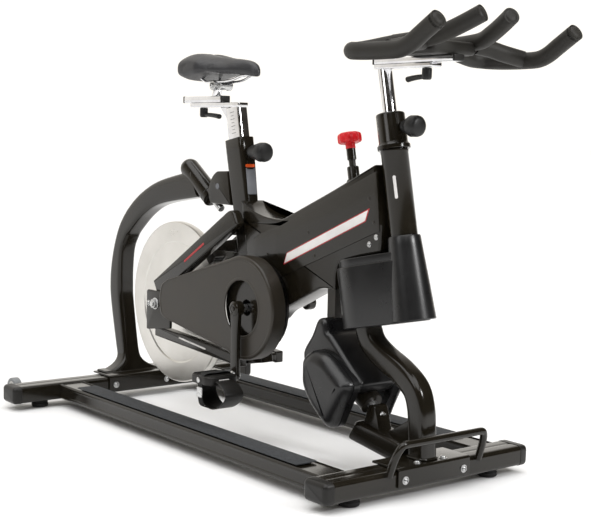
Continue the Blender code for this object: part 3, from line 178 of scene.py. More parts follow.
# %% [markdown]
# ABS covers are injection moulded in a mould that is spark eroded, so they come out with a
# fine grain and a soft, broad shine. Foam grips are dipped nitrile foam: a closed skin with
# tiny pores and almost no shine.

# %% Moulded plastic, foam and rubber
def moulded(name, colours, roughness, grain_mm, depth, strength=0.25, shine=0.35):
    """Plastic or rubber with a cellular grain of the given size."""
    mat, tree, shader = new_finish(name, colours[0], roughness[0], IOR=1.5, Specular_IOR_Level=shine)
    place = place_of(tree)
    vary(tree, shader, place, 14.0, colours, roughness)
    grain = add(tree, "TexNoise", {"Scale": 1 / (grain_mm * MM), "Detail": 4.0}, {"Vector": place})
    bump(tree, shader, grain.outputs["Fac"], strength, depth)
    return mat


ABS_COVER = moulded("abs_spark_grain", ("#111112", "#161617"), (0.26, 0.34), 1.2, 0.0002, shine=0.5)
GUARD_ABS = moulded("abs_satin_guard", ("#2a2620", "#302b24"), (0.30, 0.38), 1.2, 0.0003)
FOAM = moulded("dipped_nitrile_foam", ("#1c1a17", "#22201b"), (0.50, 0.60), 1.6, 0.0005, 0.4)
KNOB_RUBBER = moulded("soft_touch_knob", ("#131313", "#191919"), (0.40, 0.50), 1.5, 0.0003)
FOOT_RUBBER = moulded("black_floor_rubber", ("#161616", "#1e1e1e"), (0.7, 0.8), 2.0, 0.0006, 0.5)
CAP_PLASTIC = moulded("pe_end_cap", ("#12110f", "#181614"), (0.34, 0.46), 1.6, 0.0004)
WHEEL_TYRE = moulded("grey_tpr_tyre", ("#7d7f80", "#8d8f90"), (0.55, 0.65), 2.0, 0.0004)
WHEEL_HUB = moulded("white_nylon_hub", ("#c9c8c4", "#d8d7d2"), (0.4, 0.5), 2.0, 0.0003)
RED_ABS = moulded("gloss_red_abs", ("#c01018", "#cc161e"), (0.34, 0.38), 4.0, 0.0001, 0.02)
WHITE_FILM = moulded("white_vinyl_film", ("#dcdad8", "#e8e6e4"), (0.3, 0.4), 3.0, 0.0001, 0.1)
RED_FILM = moulded("red_vinyl_film", ("#a02028", "#b02a30"), (0.3, 0.4), 3.0, 0.0001, 0.1)
ORANGE_FILM = moulded("orange_vinyl_film", ("#e2541a", "#ee6426"), (0.35, 0.45), 3.0, 0.0001, 0.1)
GREY_FILM = moulded("grey_printed_film", ("#63656a", "#7c7e83"), (0.4, 0.5), 2.2, 0.0001, 0.1)

# %% [markdown]
# The tread strips are grit glued to a dark film. Each grain is about a millimetre, and here
# it is drawn at two, so that it shows. The saddle cover is embossed vinyl, whose leather
# grain is a cell pattern about 2 mm across.

# %% Grit and vinyl
def grit_strip():
    """Silicon carbide grit on a dark film."""
    mat, tree, shader = new_finish("silicon_carbide_grit", "#1d1e20", 0.85)
    place = place_of(tree)
    grains = add(tree, "TexVoronoi", {"Scale": 1 / (2.2 * MM)}, {"Vector": place})
    ramp = add(tree, "ValToRGB", links={"Fac": grains.outputs["Color"]})
    ramp.color_ramp.elements[0].color = linear("#141516")
    ramp.color_ramp.elements[1].color = linear("#3c3f43")
    tree.links.new(ramp.outputs["Color"], shader.inputs["Base Color"])
    bump(tree, shader, grains.outputs["Distance"], 0.7, 0.0008)
    return mat


def embossed_vinyl():
    """PVC upholstery with a leather grain: cells for the grain, a slow noise for its shine."""
    mat, tree, shader = new_finish("embossed_black_vinyl", "#242426", 0.42, IOR=1.5)
    place = place_of(tree)
    vary(tree, shader, place, 20.0, ("#242426", "#2c2c2f"), (0.34, 0.46))
    cells = add(tree, "TexVoronoi", {"Scale": 1 / (2.4 * MM)}, {"Vector": place})
    bump(tree, shader, cells.outputs["Distance"], 0.25, 0.0006)
    return mat


GRIT = grit_strip()
VINYL = embossed_vinyl()

# %% [markdown]
# Chrome plate is a mirror: metallic, with a very low roughness. Zinc-plated bolts are the
# same metal look, but cloudy. The flywheel is faced on a lathe and polished, which leaves
# fine rings round its axle. Rings are a wave of the distance from that axle, so the pattern
# is centred there by a Mapping node.

# %% Metals
def metal(name, colours, roughness, cloud_mm):
    """Polished or plated metal with cloudy roughness."""
    mat, tree, shader = new_finish(name, colours[0], roughness[0], Metallic=1.0)
    vary(tree, shader, place_of(tree), 1 / (cloud_mm * MM), colours, roughness)
    return mat


def faced_disc():
    """Lathe-faced steel: rings 3 mm apart, softened by a broad cloud of polish."""
    mat, tree, shader = new_finish("lathe_faced_steel", "#d6d4d0", 0.3, Metallic=1.0)
    centred = add(tree, "Mapping", {"Location": tuple(-WHEEL_POINT)}, {"Vector": place_of(tree)})
    flat = add(tree, "VectorMath", {"operation": "MULTIPLY"}, {0: centred.outputs["Vector"]})
    flat.inputs[1].default_value = (1.0, 0.0, 1.0)
    reach = add(tree, "VectorMath", {"operation": "LENGTH"}, {0: flat.outputs["Vector"]})
    rings = add(tree, "Math", {"operation": "SINE"})
    turns = add(tree, "Math", {"operation": "MULTIPLY", 1: 2 * math.pi / (3 * MM)},
                {0: reach.outputs["Value"]})
    tree.links.new(turns.outputs["Value"], rings.inputs[0])
    vary(tree, shader, centred.outputs["Vector"], 7.0, ("#cfcdc8", "#e0deda"), (0.26, 0.36))
    bump(tree, shader, rings.outputs["Value"], 0.12, 0.0002)
    return mat


CHROME = metal("chrome_plate", ("#d9d9dc", "#e9e9ea"), (0.05, 0.12), 30)
ZINC = metal("bright_zinc_plate", ("#b9babb", "#cfcfce"), (0.22, 0.38), 6)
DARK_STEEL = metal("black_oxide_steel", ("#2c2b2b", "#3a3938"), (0.25, 0.4), 5)
FACED_STEEL = faced_disc()

# %% [markdown]
# ## Making surfaces
# Every new piece is a surface over two parameters: rows along it and columns round it. One
# function turns a grid of points into a mesh; the others only work out the grid.

# %% Mesh from a grid
PIECES = []
BASE_PAINT = (GLOSS_BLACK, "base", "black_paint")
FRAME_PAINT = (GLOSS_BLACK, "frame", "black_paint")
FRAME_COVER = (ABS_COVER, "frame", "black_plastic")
STEERING_COVER = (ABS_COVER, "steering", "black_plastic")


def build(name, points, faces, mat, body, covers=(), sharp=38.0):
    """Put points and faces into a mesh with its faces outwards, and hang it on its body."""
    mesh = bpy.data.meshes.new(name)
    mesh.from_pydata(np.asarray(points, float).reshape(-1, 3).tolist(), [], faces)
    work = bmesh.new()
    work.from_mesh(mesh)
    bmesh.ops.remove_doubles(work, verts=work.verts, dist=0.00001)
    bmesh.ops.triangulate(work, faces=[face for face in work.faces if len(face.verts) > 4])
    bmesh.ops.recalc_face_normals(work, faces=work.faces)
    if work.calc_volume(signed=True) < 0:
        bmesh.ops.reverse_faces(work, faces=work.faces)
    work.to_mesh(mesh)
    work.free()
    mesh.shade_smooth()
    mesh.set_sharp_from_angle(angle=math.radians(sharp))
    mesh.materials.append(mat)
    obj = bpy.data.objects.new(name, mesh)
    bpy.context.scene.collection.objects.link(obj)
    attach(obj, body)
    if covers:
        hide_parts(*covers)
    PIECES.append(obj)
    return obj


def grid_faces(rows, columns, wrap_rows=False):
    """Quads of a grid whose columns close on themselves. Its first and last row are capped or joined."""
    index = np.arange(rows * columns).reshape(rows, columns)
    if wrap_rows:
        index = np.vstack([index, index[:1]])
    right = np.roll(index, -1, axis=1)
    quads = np.stack([index[:-1], right[:-1], right[1:], index[1:]], axis=-1).reshape(-1, 4)
    faces = quads.tolist()
    if not wrap_rows:
        faces += [index[0][::-1].tolist(), index[-1].tolist()]
    return faces


def piece(name, grid, mat, body, slot, covers=(), wrap_rows=False, sharp=38.0):
    """A grid of points (rows, columns, 3) as one closed piece."""
    grid = np.asarray(grid, float)
    return build(name, grid, grid_faces(*grid.shape[:2], wrap_rows), mat, body, covers, sharp)


# %% [markdown]
# Outlines and paths are drawn with few points. A smooth curve passes through them, or their
# corners are rounded, and a hull joins two circles by straight sides.

# %% Curves and profiles
def smooth(points, steps=8, closed=False):
    """A Catmull-Rom curve: each stretch is the cubic whose slopes come from its neighbours."""
    p = np.asarray(points, float)
    ends = (p[-1:], p[:1], p[1:2]) if closed else (p[:1], p[-1:], p[:0])
    q = np.vstack([ends[0], p, ends[1], ends[2]])
    t = (np.arange(steps) / steps)[None, :, None]
    a, b, c, d = (q[i:len(q) - 3 + i][:, None] for i in range(4))
    curve = 0.5 * (2 * b + (c - a) * t + (2 * a - 5 * b + 4 * c - d) * t ** 2
                   + (3 * b - a - 3 * c + d) * t ** 3)
    curve = curve.reshape(-1, p.shape[1])
    return curve if closed else np.vstack([curve, p[-1:]])


def rounded(points, radius, steps=6):
    """An outline whose corners become arcs: each is a quadratic between two points near it."""
    p = np.asarray(points, float)
    radii = np.broadcast_to(radius, len(p))
    before, after = np.roll(p, 1, axis=0) - p, np.roll(p, -1, axis=0) - p
    reach_b = np.minimum(radii, 0.45 * np.linalg.norm(before, axis=1))[:, None]
    reach_a = np.minimum(radii, 0.45 * np.linalg.norm(after, axis=1))[:, None]
    start = p + before / np.linalg.norm(before, axis=1)[:, None] * reach_b
    end = p + after / np.linalg.norm(after, axis=1)[:, None] * reach_a
    t = np.linspace(0, 1, steps)[None, :, None]
    arcs = (1 - t) ** 2 * start[:, None] + 2 * t * (1 - t) * p[:, None] + t ** 2 * end[:, None]
    return arcs.reshape(-1, p.shape[1])


def rectangle(width, height, radius, steps=6):
    """A rounded rectangle about the origin."""
    w, h = width / 2, height / 2
    return rounded([(w, -h), (w, h), (-w, h), (-w, -h)], radius, steps)


def circle(radius, count=32):
    """Points on a circle about the origin."""
    turn = np.linspace(0, 2 * math.pi, count, endpoint=False)
    return np.stack([radius * np.cos(turn), radius * np.sin(turn)], axis=1)


def hull_outline(centre_a, radius_a, centre_b, radius_b, count=24):
    """Two circles and their outer tangents: an arc of each, cut where the tangent leaves it."""
    a, b = np.asarray(centre_a, float), np.asarray(centre_b, float)
    span_ab = b - a
    lean = math.atan2(span_ab[1], span_ab[0])
    open_angle = math.acos((radius_a - radius_b) / np.linalg.norm(span_ab))
    far = np.linspace(lean + open_angle, lean + 2 * math.pi - open_angle, count)
    near = np.linspace(lean - open_angle, lean + open_angle, count)
    arc_a = a + radius_a * np.stack([np.cos(far), np.sin(far)], axis=1)
    arc_b = b + radius_b * np.stack([np.cos(near), np.sin(near)], axis=1)
    return np.vstack([arc_a, arc_b])


def outline_normals(outline):
    """Unit normals of a closed outline, pointing out of it."""
    ahead, behind = np.roll(outline, -1, axis=0), np.roll(outline, 1, axis=0)
    along = ahead - behind
    along /= np.maximum(np.linalg.norm(along, axis=1), 1e-9)[:, None]
    area = np.sum(outline[:, 0] * ahead[:, 1] - ahead[:, 0] * outline[:, 1])
    return np.stack([along[:, 1], -along[:, 0]], axis=1) * (1 if area > 0 else -1)


# %% [markdown]
# Three kinds of surface make nearly every piece: an outline carried across as a slab, a section
# swept along a path, and a profile turned round an axis. Rounded rims are extra rows.

# %% Slabs, tubes and turned pieces
def slab_grid(outline, low, high, edge, steps=4):
    """An outline carried from low to high, its rims rounded: each rim is a quarter circle of rows."""
    outline = np.asarray(outline, float)
    normals = outline_normals(outline)
    turn = np.linspace(0, math.pi / 2, steps + 1)
    inset = edge * (1 - np.sin(turn))
    rise = edge * (1 - np.cos(turn))
    inset = np.concatenate([inset, inset[::-1]])
    level = np.concatenate([low + rise, high - rise[::-1]])
    plan = outline[None] - normals[None] * inset[:, None, None]
    return np.concatenate([plan, np.broadcast_to(level[:, None, None], plan.shape[:2] + (1,))], axis=2)


def side_slab(name, outline, low, high, edge, mat, body, slot, covers=(), sharp=38.0):
    """A slab whose outline is (ahead, up) and whose thickness runs across the bike."""
    grid = slab_grid(outline, low, high, edge)
    return piece(name, np.stack([grid[..., 0] + BB_X, grid[..., 2], grid[..., 1]], axis=2), mat, body, slot,
                 covers, sharp=sharp)


def basis(axis, side_hint=(0, 1, 0)):
    """Three unit vectors: ahead of, beside and along an axis."""
    w = np.asarray(axis, float) / np.linalg.norm(axis)
    v = np.asarray(side_hint, float)
    v = v - w * (v @ w)
    v /= np.linalg.norm(v)
    return np.cross(v, w), v, w


def axis_slab(name, outline, origin, axis, low, high, edge, mat, body, slot, covers=(), sharp=38.0):
    """A slab carried along any axis; the outline is (ahead, beside)."""
    grid = slab_grid(outline, low, high, edge)
    u, v, w = basis(axis)
    return piece(name, np.asarray(origin) + grid @ np.stack([u, v, w]), mat, body, slot, covers,
                 sharp=sharp)


def sweep_grid(path, profile, up=(0, 1, 0), scale=None):
    """A profile carried along a path: its first axis lies along the path's side normal, its second along up."""
    path = np.asarray(path, float)
    along = np.gradient(path, axis=0)
    along /= np.linalg.norm(along, axis=1)[:, None]
    up = np.broadcast_to(np.asarray(up, float), path.shape)
    up = up - along * np.sum(up * along, axis=1)[:, None]
    up = up / np.linalg.norm(up, axis=1)[:, None]
    side = np.cross(up, along)
    size = np.ones(len(path)) if scale is None else np.asarray(scale)
    flat = profile[None] * size[:, None, None]
    return path[:, None] + flat[..., :1] * side[:, None] + flat[..., 1:] * up[:, None]


def rod_rows(path, radius, end_round, steps=4):
    """A path and its radii, with both ends rounded off over end_round."""
    path = np.asarray(path, float)
    turn = np.linspace(0, math.pi / 2, steps + 1)
    first = (path[0] - path[1]) / np.linalg.norm(path[0] - path[1])
    last = (path[-1] - path[-2]) / np.linalg.norm(path[-1] - path[-2])
    rise = end_round * np.sin(turn)
    shrink = radius - end_round + end_round * np.cos(turn)
    head = path[0] + first[None] * (rise - end_round)[::-1][:, None]
    foot = path[-1] + last[None] * (rise - end_round)[:, None]
    rows = np.vstack([head, path[1:-1], foot])
    sizes = np.concatenate([shrink[::-1], np.full(len(path) - 2, radius), shrink])
    return rows, np.maximum(sizes, radius * 0.02)


def rod(name, path, radius, mat, body, slot, covers=(), end_round=0.001, sides=28, up=(0, 1, 0)):
    """A round bar along a path."""
    rows, sizes = rod_rows(path, radius, end_round)
    return piece(name, sweep_grid(rows, circle(1.0, sides), up, sizes), mat, body, slot, covers)


def turned(name, profile, origin, axis, mat, body, slot, covers=(), count=48, sharp=38.0, ring=False):
    """A profile of (radius, distance) turned round an axis; ring closes it round a bore."""
    profile = np.asarray(profile, float)
    u, v, w = basis(axis, (0, 1, 0) if abs(np.asarray(axis)[1]) < 0.9 else (0, 0, 1))
    turn = np.linspace(0, 2 * math.pi, count, endpoint=False)
    spoke = np.cos(turn)[:, None] * u + np.sin(turn)[:, None] * v
    grid = np.asarray(origin) + profile[:, 0][:, None, None] * spoke[None] + profile[:, 1][:, None,
                                                                                           None] * w
    return piece(name, grid, mat, body, slot, covers, wrap_rows=ring, sharp=sharp)


def button_bolt(name, origin, axis, size, body):
    """A button-head bolt: a washer, a domed head and a socket sunk into it, in shares of its radius."""
    profile = size * np.array([(0.35, 0.0), (1.35, 0.0), (1.35, 0.16), (1.0, 0.2), (0.98, 0.45), (0.85,
                                                                                                  0.68),
                               (0.62, 0.8), (0.45, 0.82), (0.42, 0.4), (0.02, 0.38)])
    return turned(name, profile, origin, axis, ZINC, body, "bright_steel", count=24)


SIDES = (("right", -1), ("left", 1))


def across(side, near, far):
    """The lower and higher y of a slab that lies between two distances on one side."""
    return sorted((side * near, side * far))


# %% [markdown]
# ## The base
# The two cross beams are drawn steel tube, 75 by 48 mm, with a flat oval section and a shallow
# groove along the top. The section is carried from end to end. A soft plug closes each end.

# %% Cross beams and end plugs
def oval_section(width, height, radius, groove=0.0012):
    """A rounded rectangle whose top has a groove: a bell curve 4 mm wide, taken off its height."""
    outline = rectangle(width, height, radius, 8)
    across_top = np.linspace(0.014, -0.014, 15)
    top = np.stack([across_top, height / 2 - groove * np.exp(-(across_top / 0.004) ** 2)], axis=1)
    corner = len(outline) // 2
    return np.vstack([outline[:corner], top, outline[corner:]])


def carried(outline, path_from, path_to):
    """An (ahead, up) outline carried across the bike."""
    levels = np.array([path_from, path_to])
    grid = np.broadcast_to(outline[None], (2, *outline.shape))
    return np.stack([grid[..., 0] + BB_X, np.broadcast_to(levels[:, None], grid.shape[:2]), grid[..., 1]],
                    axis=2)


BEAM_Z = 0.044


def cross_beam(word, x, length):
    """The tube, and a plug with a domed end in each side."""
    section = oval_section(0.075, 0.048, 0.013) + [x, BEAM_Z]
    piece(word + "_beam_tube", carried(section, 0.024 - length / 2, length / 2 - 0.024), *BASE_PAINT,
          [word + "_beam"])
    plug = rectangle(0.0768, 0.0498, 0.014, 8) + [x, BEAM_Z]
    for side_word, side in SIDES:
        turn = np.linspace(0, math.pi / 2, 7)
        inset = np.concatenate([[0.001, 0.0], 0.012 * (1 - np.cos(turn[1:]))])
        reach = np.concatenate([[0.0262, 0.0255], 0.012 * (1 - np.sin(turn[1:]))])
        plan = plug[None] - outline_normals(plug)[None] * inset[:, None, None]
        level = side * (length / 2 - reach)
        rows = np.stack([plan[..., 0] + BB_X, np.broadcast_to(level[:, None], plan.shape[:2]), plan[...,
                                                                                                1]], axis=2)
        piece(f"{word}_beam_plug_{side_word}", rows, CAP_PLASTIC, "base", "black_plastic",
              [f"{word}_beam_cap_{side_word}"])
        turned(f"{word}_rubber_foot_{side_word}",
               [(0.001, 0.0), (0.008, 0.0), (0.009, 0.0015), (0.018, 0.0015), (0.0225, 0.002), (0.0235,
                                                                                                0.0045),
                (0.0235, 0.011), (0.0215, 0.0125), (0.0215, 0.0145), (0.0235, 0.016), (0.0235, 0.0197),
                (0.001, 0.0197)],
               at(x, 0.0, side * (length / 2 - 0.099)), (0, 0, 1), FOOT_RUBBER, "base", "black_rubber",
               [f"{word}_foot_{side_word}"])


REAR_X = -0.684
FRONT_X = 0.555
cross_beam("rear", REAR_X, 0.830)
cross_beam("front", FRONT_X, 0.626)
print("beams:", len(PIECES), "pieces")

# %% [markdown]
# The side rails double as steps. Each is an extrusion with a round bead along the top edge,
# a shallow band below it, and a strip of grit on top for the rider's shoe.

# %% Side rails and tread strips
RAIL_Y = 0.232


def rail_section(side):
    """The rail across the bike: a bead of 5 mm radius at the outer top, a band 2 mm deep below it."""
    half = np.array([(0.0, 0.0225), (0.0335, 0.0225), (0.0385, 0.0175), (0.0385, 0.012), (0.0368, 0.0105),
                     (0.0368, -0.011), (0.0385, -0.0125), (0.0385, -0.0185), (0.0345, -0.0225), (0.0,
                                                                                                 -0.0225)])
    right = rounded(half[1:-1], [0.004, 0.004, 0.001, 0.001, 0.001, 0.001, 0.004, 0.004], 5)
    left = right[::-1] * [-1, 1]
    return np.vstack([right, left]) + [side * RAIL_Y, 0.0445]


for word, side in SIDES:
    section = rail_section(side)
    ends = np.array([REAR_X + 0.036, FRONT_X - 0.036]) + BB_X
    rows = np.stack([np.broadcast_to(ends[:, None], (2, len(section))),
                     np.broadcast_to(section[:, 0], (2, len(section))),
                     np.broadcast_to(section[:, 1], (2, len(section)))], axis=2)
    piece("side_rail_tube_" + word, rows, *BASE_PAINT, ["side_rail_" + word])
    strip = slab_grid(rectangle(0.994, 0.061, 0.006, 4), 0.0668, 0.0690, 0.0007, 2)
    strip = strip + [(REAR_X + FRONT_X) / 2 + BB_X, side * RAIL_Y, 0.0]
    piece("tread_strip_" + word, strip, GRIT, "base", "grip_tape", ["grip_strip_" + word])

# %% [markdown]
# A bent plate clamps each upright to its beam. Steel of 5 mm is folded over the beam's edge,
# so its corners have a small bend radius, and two bolts hold it from the side.

# %% Clamp plates, bolts and lift handle
PLATE_LOW, PLATE_TOP, PLATE_HALF = 0.0684, 0.0733, 0.110
FRONT_FACE = FRONT_X + 0.0375
front_fold = rounded([(FRONT_FACE + 0.0004, 0.030), (FRONT_FACE + 0.0053, 0.030), (FRONT_FACE + 0.0053,
                                                                                   PLATE_TOP),
                      (FRONT_X - 0.045, PLATE_TOP), (FRONT_X - 0.045, PLATE_LOW),
                      (FRONT_FACE + 0.0004, PLATE_LOW)],
                     [0.001, 0.001, 0.007, 0.001, 0.001, 0.002], 6)
side_slab("front_folded_plate", front_fold, -PLATE_HALF, PLATE_HALF, 0.0012, *BASE_PAINT,
          ["front_clamp_plate"])
REAR_FACE = REAR_X + 0.0378
rear_fold = rounded([(REAR_X - 0.056, PLATE_LOW), (REAR_FACE, PLATE_LOW), (REAR_FACE, 0.028),
                     (REAR_FACE + 0.005, 0.028), (REAR_FACE + 0.005, PLATE_TOP), (REAR_X - 0.056,
                                                                                  PLATE_TOP)],
                    [0.001, 0.002, 0.001, 0.001, 0.007, 0.001], 6)
side_slab("rear_folded_plate", rear_fold, -PLATE_HALF, PLATE_HALF, 0.0012, *BASE_PAINT,
          ["rear_clamp_plate"])
for word, side in SIDES:
    button_bolt("front_plate_bolt_" + word, at(FRONT_FACE + 0.0053, 0.045, side * 0.090), (1, 0, 0),
                0.0068, "base")
    button_bolt("rear_plate_bolt_" + word, at(REAR_FACE + 0.0050, 0.045, side * 0.088), (1, 0, 0), 0.0068,
                "base")
    button_bolt("post_bolt_" + word, at(FRONT_X + 0.026, PLATE_TOP, side * 0.040), (0, 0, 1), 0.0068,
                "base")

half_handle = [(0.040, 0.058, 0.137), (0.046, 0.075, 0.137), (0.054, 0.098, 0.1355), (0.0615, 0.118, 0.131),
               (0.066, 0.130, 0.124), (0.067, 0.133, 0.114), (0.067, 0.133, 0.090), (0.067, 0.133, 0.040)]
handle_points = [at(FRONT_X + x, z, -y) for x, z, y in half_handle] + [at(FRONT_X + x, z, y)
                                                                      for x, z, y in reversed(half_handle)]
rod("lift_bar", smooth(handle_points, 5), 0.0085, *BASE_PAINT, ["lift_handle"], 0.0085,
    up=(1, 0, 0))

# %% [markdown]
# Two small wheels behind the rear beam let the bike roll when the handle is lifted. The tyre
# is a soft grey ring on a white hub, between two welded ears.

# %% Transport wheels
WHEEL_X, WHEEL_Z, WHEEL_Y = REAR_X - 0.0705, 0.046, 0.360
for word, side in SIDES:
    centre = at(WHEEL_X, WHEEL_Z, side * WHEEL_Y)
    body_name = "transport_wheel_" + word
    turned("wheel_tyre_" + word,
           [(0.0195, -0.010), (0.0275, -0.011), (0.0293, -0.0095), (0.0298, -0.006), (0.030, 0.0), (0.0298,
                                                                                                    0.006),
            (0.0293, 0.0095), (0.0275, 0.011), (0.0195, 0.010)],
           centre, (0, 1, 0), WHEEL_TYRE, body_name, "grey_rubber", [body_name], ring=True)
    turned("wheel_hub_" + word,
           [(0.0046, -0.0105), (0.009, -0.0105), (0.0095, -0.0075), (0.0165, -0.0075), (0.0172, -0.0098),
            (0.0198, -0.0098), (0.0198, 0.0098), (0.0172, 0.0098), (0.0165, 0.0075), (0.0095, 0.0075),
            (0.009, 0.0105), (0.0046, 0.0105)],
           centre, (0, 1, 0), WHEEL_HUB, body_name, "grey_rubber", ring=True)
    for edge in (-1, 1):
        y = side * WHEEL_Y + edge * 0.014
        face = "outer" if edge * side > 0 else "inner"
        ear = hull_outline((WHEEL_X, WHEEL_Z), 0.010, (REAR_X - 0.030, WHEEL_Z), 0.0102)
        side_slab(f"wheel_ear_{word}_{face}", ear, y - 0.0015, y + 0.0015, 0.0006, *BASE_PAINT,
                  ["rear_beam"])
        button_bolt(f"wheel_screw_{word}_{face}",
                 at(WHEEL_X, WHEEL_Z, y + edge * 0.0015), (0, edge, 0), 0.0042, "base")

# %% [markdown]
# The spine carries the front pivot. The front post is a bent tube that rises from the beam and
# ends in the ball that turns the steering. Its section is a rounded box carried along the bend.

# %% Spine and front post
PIVOT = (0.405, 0.150)
spine_side = rounded([(FRONT_X - 0.038, 0.048), (FRONT_X - 0.038, 0.068), (FRONT_X - 0.0455, 0.068),
                      (FRONT_X - 0.0455, 0.100), (PIVOT[0] - 0.045, 0.126), (PIVOT[0] - 0.075, 0.076)],
                     [0.001, 0.001, 0.001, 0.006, 0.014, 0.014])
side_slab("spine_box", spine_side, -0.030, 0.030, 0.007, *BASE_PAINT, ["spine_tube"])
yoke_side = rounded([(0.375, 0.117), (0.435, 0.106), (0.424, 0.146), (0.415, 0.168), (0.395, 0.168),
                     (0.387, 0.150)],
                    [0.001, 0.001, 0.008, 0.008, 0.008, 0.008])
side_slab("pivot_yoke", yoke_side, -0.020, 0.020, 0.003, *BASE_PAINT, ["spine_tube"])
rod("pivot_pin_front", [LEAN_POINT - LEAN_AXIS * 0.148, LEAN_POINT, LEAN_POINT + LEAN_AXIS * 0.018], 0.012,
    ZINC, "base",
    "bright_steel", ["spine_tube"])
gusset_side = rounded([(0.425, 0.098), (0.509, 0.090), (0.5245, 0.100), (0.5175, 0.155)], 0.006)
side_slab("spine_gusset", gusset_side, -0.004, 0.004, 0.0015, *BASE_PAINT, ["spine_tube"])

POST_LINE = smooth([(FRONT_X, 0.0735), (FRONT_X - 0.0015, 0.105), (FRONT_X - 0.003, 0.136),
                    (FRONT_X - 0.008, 0.185),
                    (FRONT_X - 0.026, 0.226), (FRONT_X - 0.073, 0.258), (0.427, 0.282), (0.385, 0.308),
                    (0.365, 0.342), (0.363, 0.372)], 6)
post_path = np.stack([POST_LINE[:, 0] + BB_X, np.zeros(len(POST_LINE)), POST_LINE[:, 1]], axis=1)
post_section = rectangle(0.055, 0.050, 0.016, 8)
piece("front_post_tube", sweep_grid(post_path, post_section), *BASE_PAINT, ["front_post"])
weld = slab_grid(rectangle(0.062, 0.057, 0.019, 8), 0.0732, 0.0790, 0.0028, 3) + at(FRONT_X, 0.0)
piece("front_post_weld", weld, *BASE_PAINT, ["front_post"])
BALL = at(0.363, 0.400)
turned("steering_ball", [(0.001, -0.030), (0.007, -0.030), (0.007, -0.013)] + [
    (0.013 * math.cos(a), 0.013 * math.sin(a)) for a in np.linspace(-0.95, 1.45, 14)] + [(0.0005, 0.013)],
    BALL, (0, 0, 1), ZINC, "base", "bright_steel", ["front_post"])

# %% [markdown]
# The rear arch is pressed from two halves that are welded along the middle. It spreads at the
# foot, where gussets carry the load into the clamp plate, and its section narrows towards the
# rear pivot. Here the outer and inner edges are two curves, and each row is a rounded box
# between them.

# %% Rear arch
REAR_PIVOT = (-0.280, 0.614)
arch_outer = smooth([(REAR_X - 0.050, 0.0737), (REAR_X - 0.0625, 0.115), (REAR_X - 0.075, 0.157),
                     (REAR_X - 0.104, 0.276), (REAR_X - 0.109, 0.341), (REAR_X - 0.100, 0.402),
                     (REAR_X - 0.078, 0.466), (REAR_X - 0.046, 0.523), (REAR_X + 0.009, 0.577),
                     (REAR_X + 0.081, 0.621), (-0.511, 0.655), (-0.356, 0.6860)], 7)
arch_inner = smooth([(REAR_X + 0.003, 0.0737), (REAR_X - 0.009, 0.118), (REAR_X - 0.021, 0.164),
                     (REAR_X - 0.044, 0.283), (REAR_X - 0.0475, 0.330), (REAR_X - 0.047, 0.380),
                     (REAR_X - 0.040, 0.436), (REAR_X - 0.022, 0.468), (REAR_X + 0.004, 0.496),
                     (REAR_X + 0.082, 0.551), (-0.510, 0.586), (-0.322, 0.6140)], 7)


def arch_rows(outer, inner, half_width, seam_depth):
    """Rows between two edge curves: superellipses with a groove where the two pressings meet."""
    middle, half = (outer + inner) / 2, (inner - outer) / 2
    turn = np.linspace(0, 2 * math.pi, 48, endpoint=False) + math.pi / 48
    power = 0.36  # 1 would be an ellipse, 0 a box with sharp corners
    across_part = np.sign(np.sin(turn)) * np.abs(np.sin(turn)) ** power
    along_part = np.sign(np.cos(turn)) * np.abs(np.cos(turn)) ** power
    seam = 1 - seam_depth * np.exp(-(across_part / 0.07) ** 2)
    x = middle[:, :1] + half[:, :1] * (along_part * seam)[None]
    z = middle[:, 1:] + half[:, 1:] * (along_part * seam)[None]
    y = half_width[:, None] * across_part[None]
    return np.stack([x + BB_X, y, z], axis=2)


ARCH_FOOT = 0.0737
foot_rise = np.clip((arch_outer[:, 1] - ARCH_FOOT) / 0.060, 0, 1)
arch_half = 0.027 + 0.070 * (1 - foot_rise) ** 3.2
piece("rear_arch_pressing", arch_rows(arch_outer, arch_inner, arch_half, 0.05), *BASE_PAINT,
      ["rear_arch"])
toe = rounded([(REAR_X - 0.054, 0.0735), (REAR_X - 0.052, 0.0790), (REAR_X - 0.003, 0.0790),
               (REAR_X + 0.006, 0.0735)],
              [0.001, 0.004, 0.004, 0.001])
side_slab("rear_arch_weld", toe, -0.099, 0.099, 0.002, *BASE_PAINT, ["rear_arch"])
capsule_turn = np.linspace(0, math.pi / 2, 10)
capsule = [(0.0275, -0.001), (0.0275, -0.012), (0.0262, -0.0135), (0.0262, -0.0155), (0.0275, -0.017)]
capsule += [(0.0275 * math.cos(a), -0.1355 - 0.0275 * math.sin(a)) for a in capsule_turn[:-1]] + [(0.0005,
                                                                                                   -0.163)]
turned("rear_pivot_capsule", [(0.0005, 0.0), (0.0255, 0.0)] + capsule, at(*REAR_PIVOT), LEAN_AXIS,
       *BASE_PAINT, ["rear_pivot_housing"])
turned("rear_pivot_pin", [(0.0005, -0.002), (0.0100, -0.002), (0.0100, 0.048), (0.009, 0.050), (0.0005,
                                                                                                0.050)],
       at(*REAR_PIVOT), LEAN_AXIS, ZINC, "base", "bright_steel", ["rear_pivot_housing"])
print("base done:", len(PIECES), "pieces")

# %% [markdown]
# ## The leaning frame
# The seat tube is a rectangular tube whose edges are rounded by drawing. Its mouth is a
# thicker sleeve with a visible wall, so the rows go up the outside, over the rim and a little
# way down the inside.

# %% Seat tube
def seat_rows(stations, width=0.038, depth=0.067, radius=0.009):
    """Rounded rectangles along the seat axis: each station is (height, growth of the section)."""
    rows = []
    for height, growth in stations:
        section = rectangle(depth + growth, width + growth, max(radius + growth / 2, 0.001), 7)
        u, v, _ = basis(SEAT_AXIS)
        rows.append(on_seat(height) + section @ np.stack([u, v]))
    return np.array(rows)


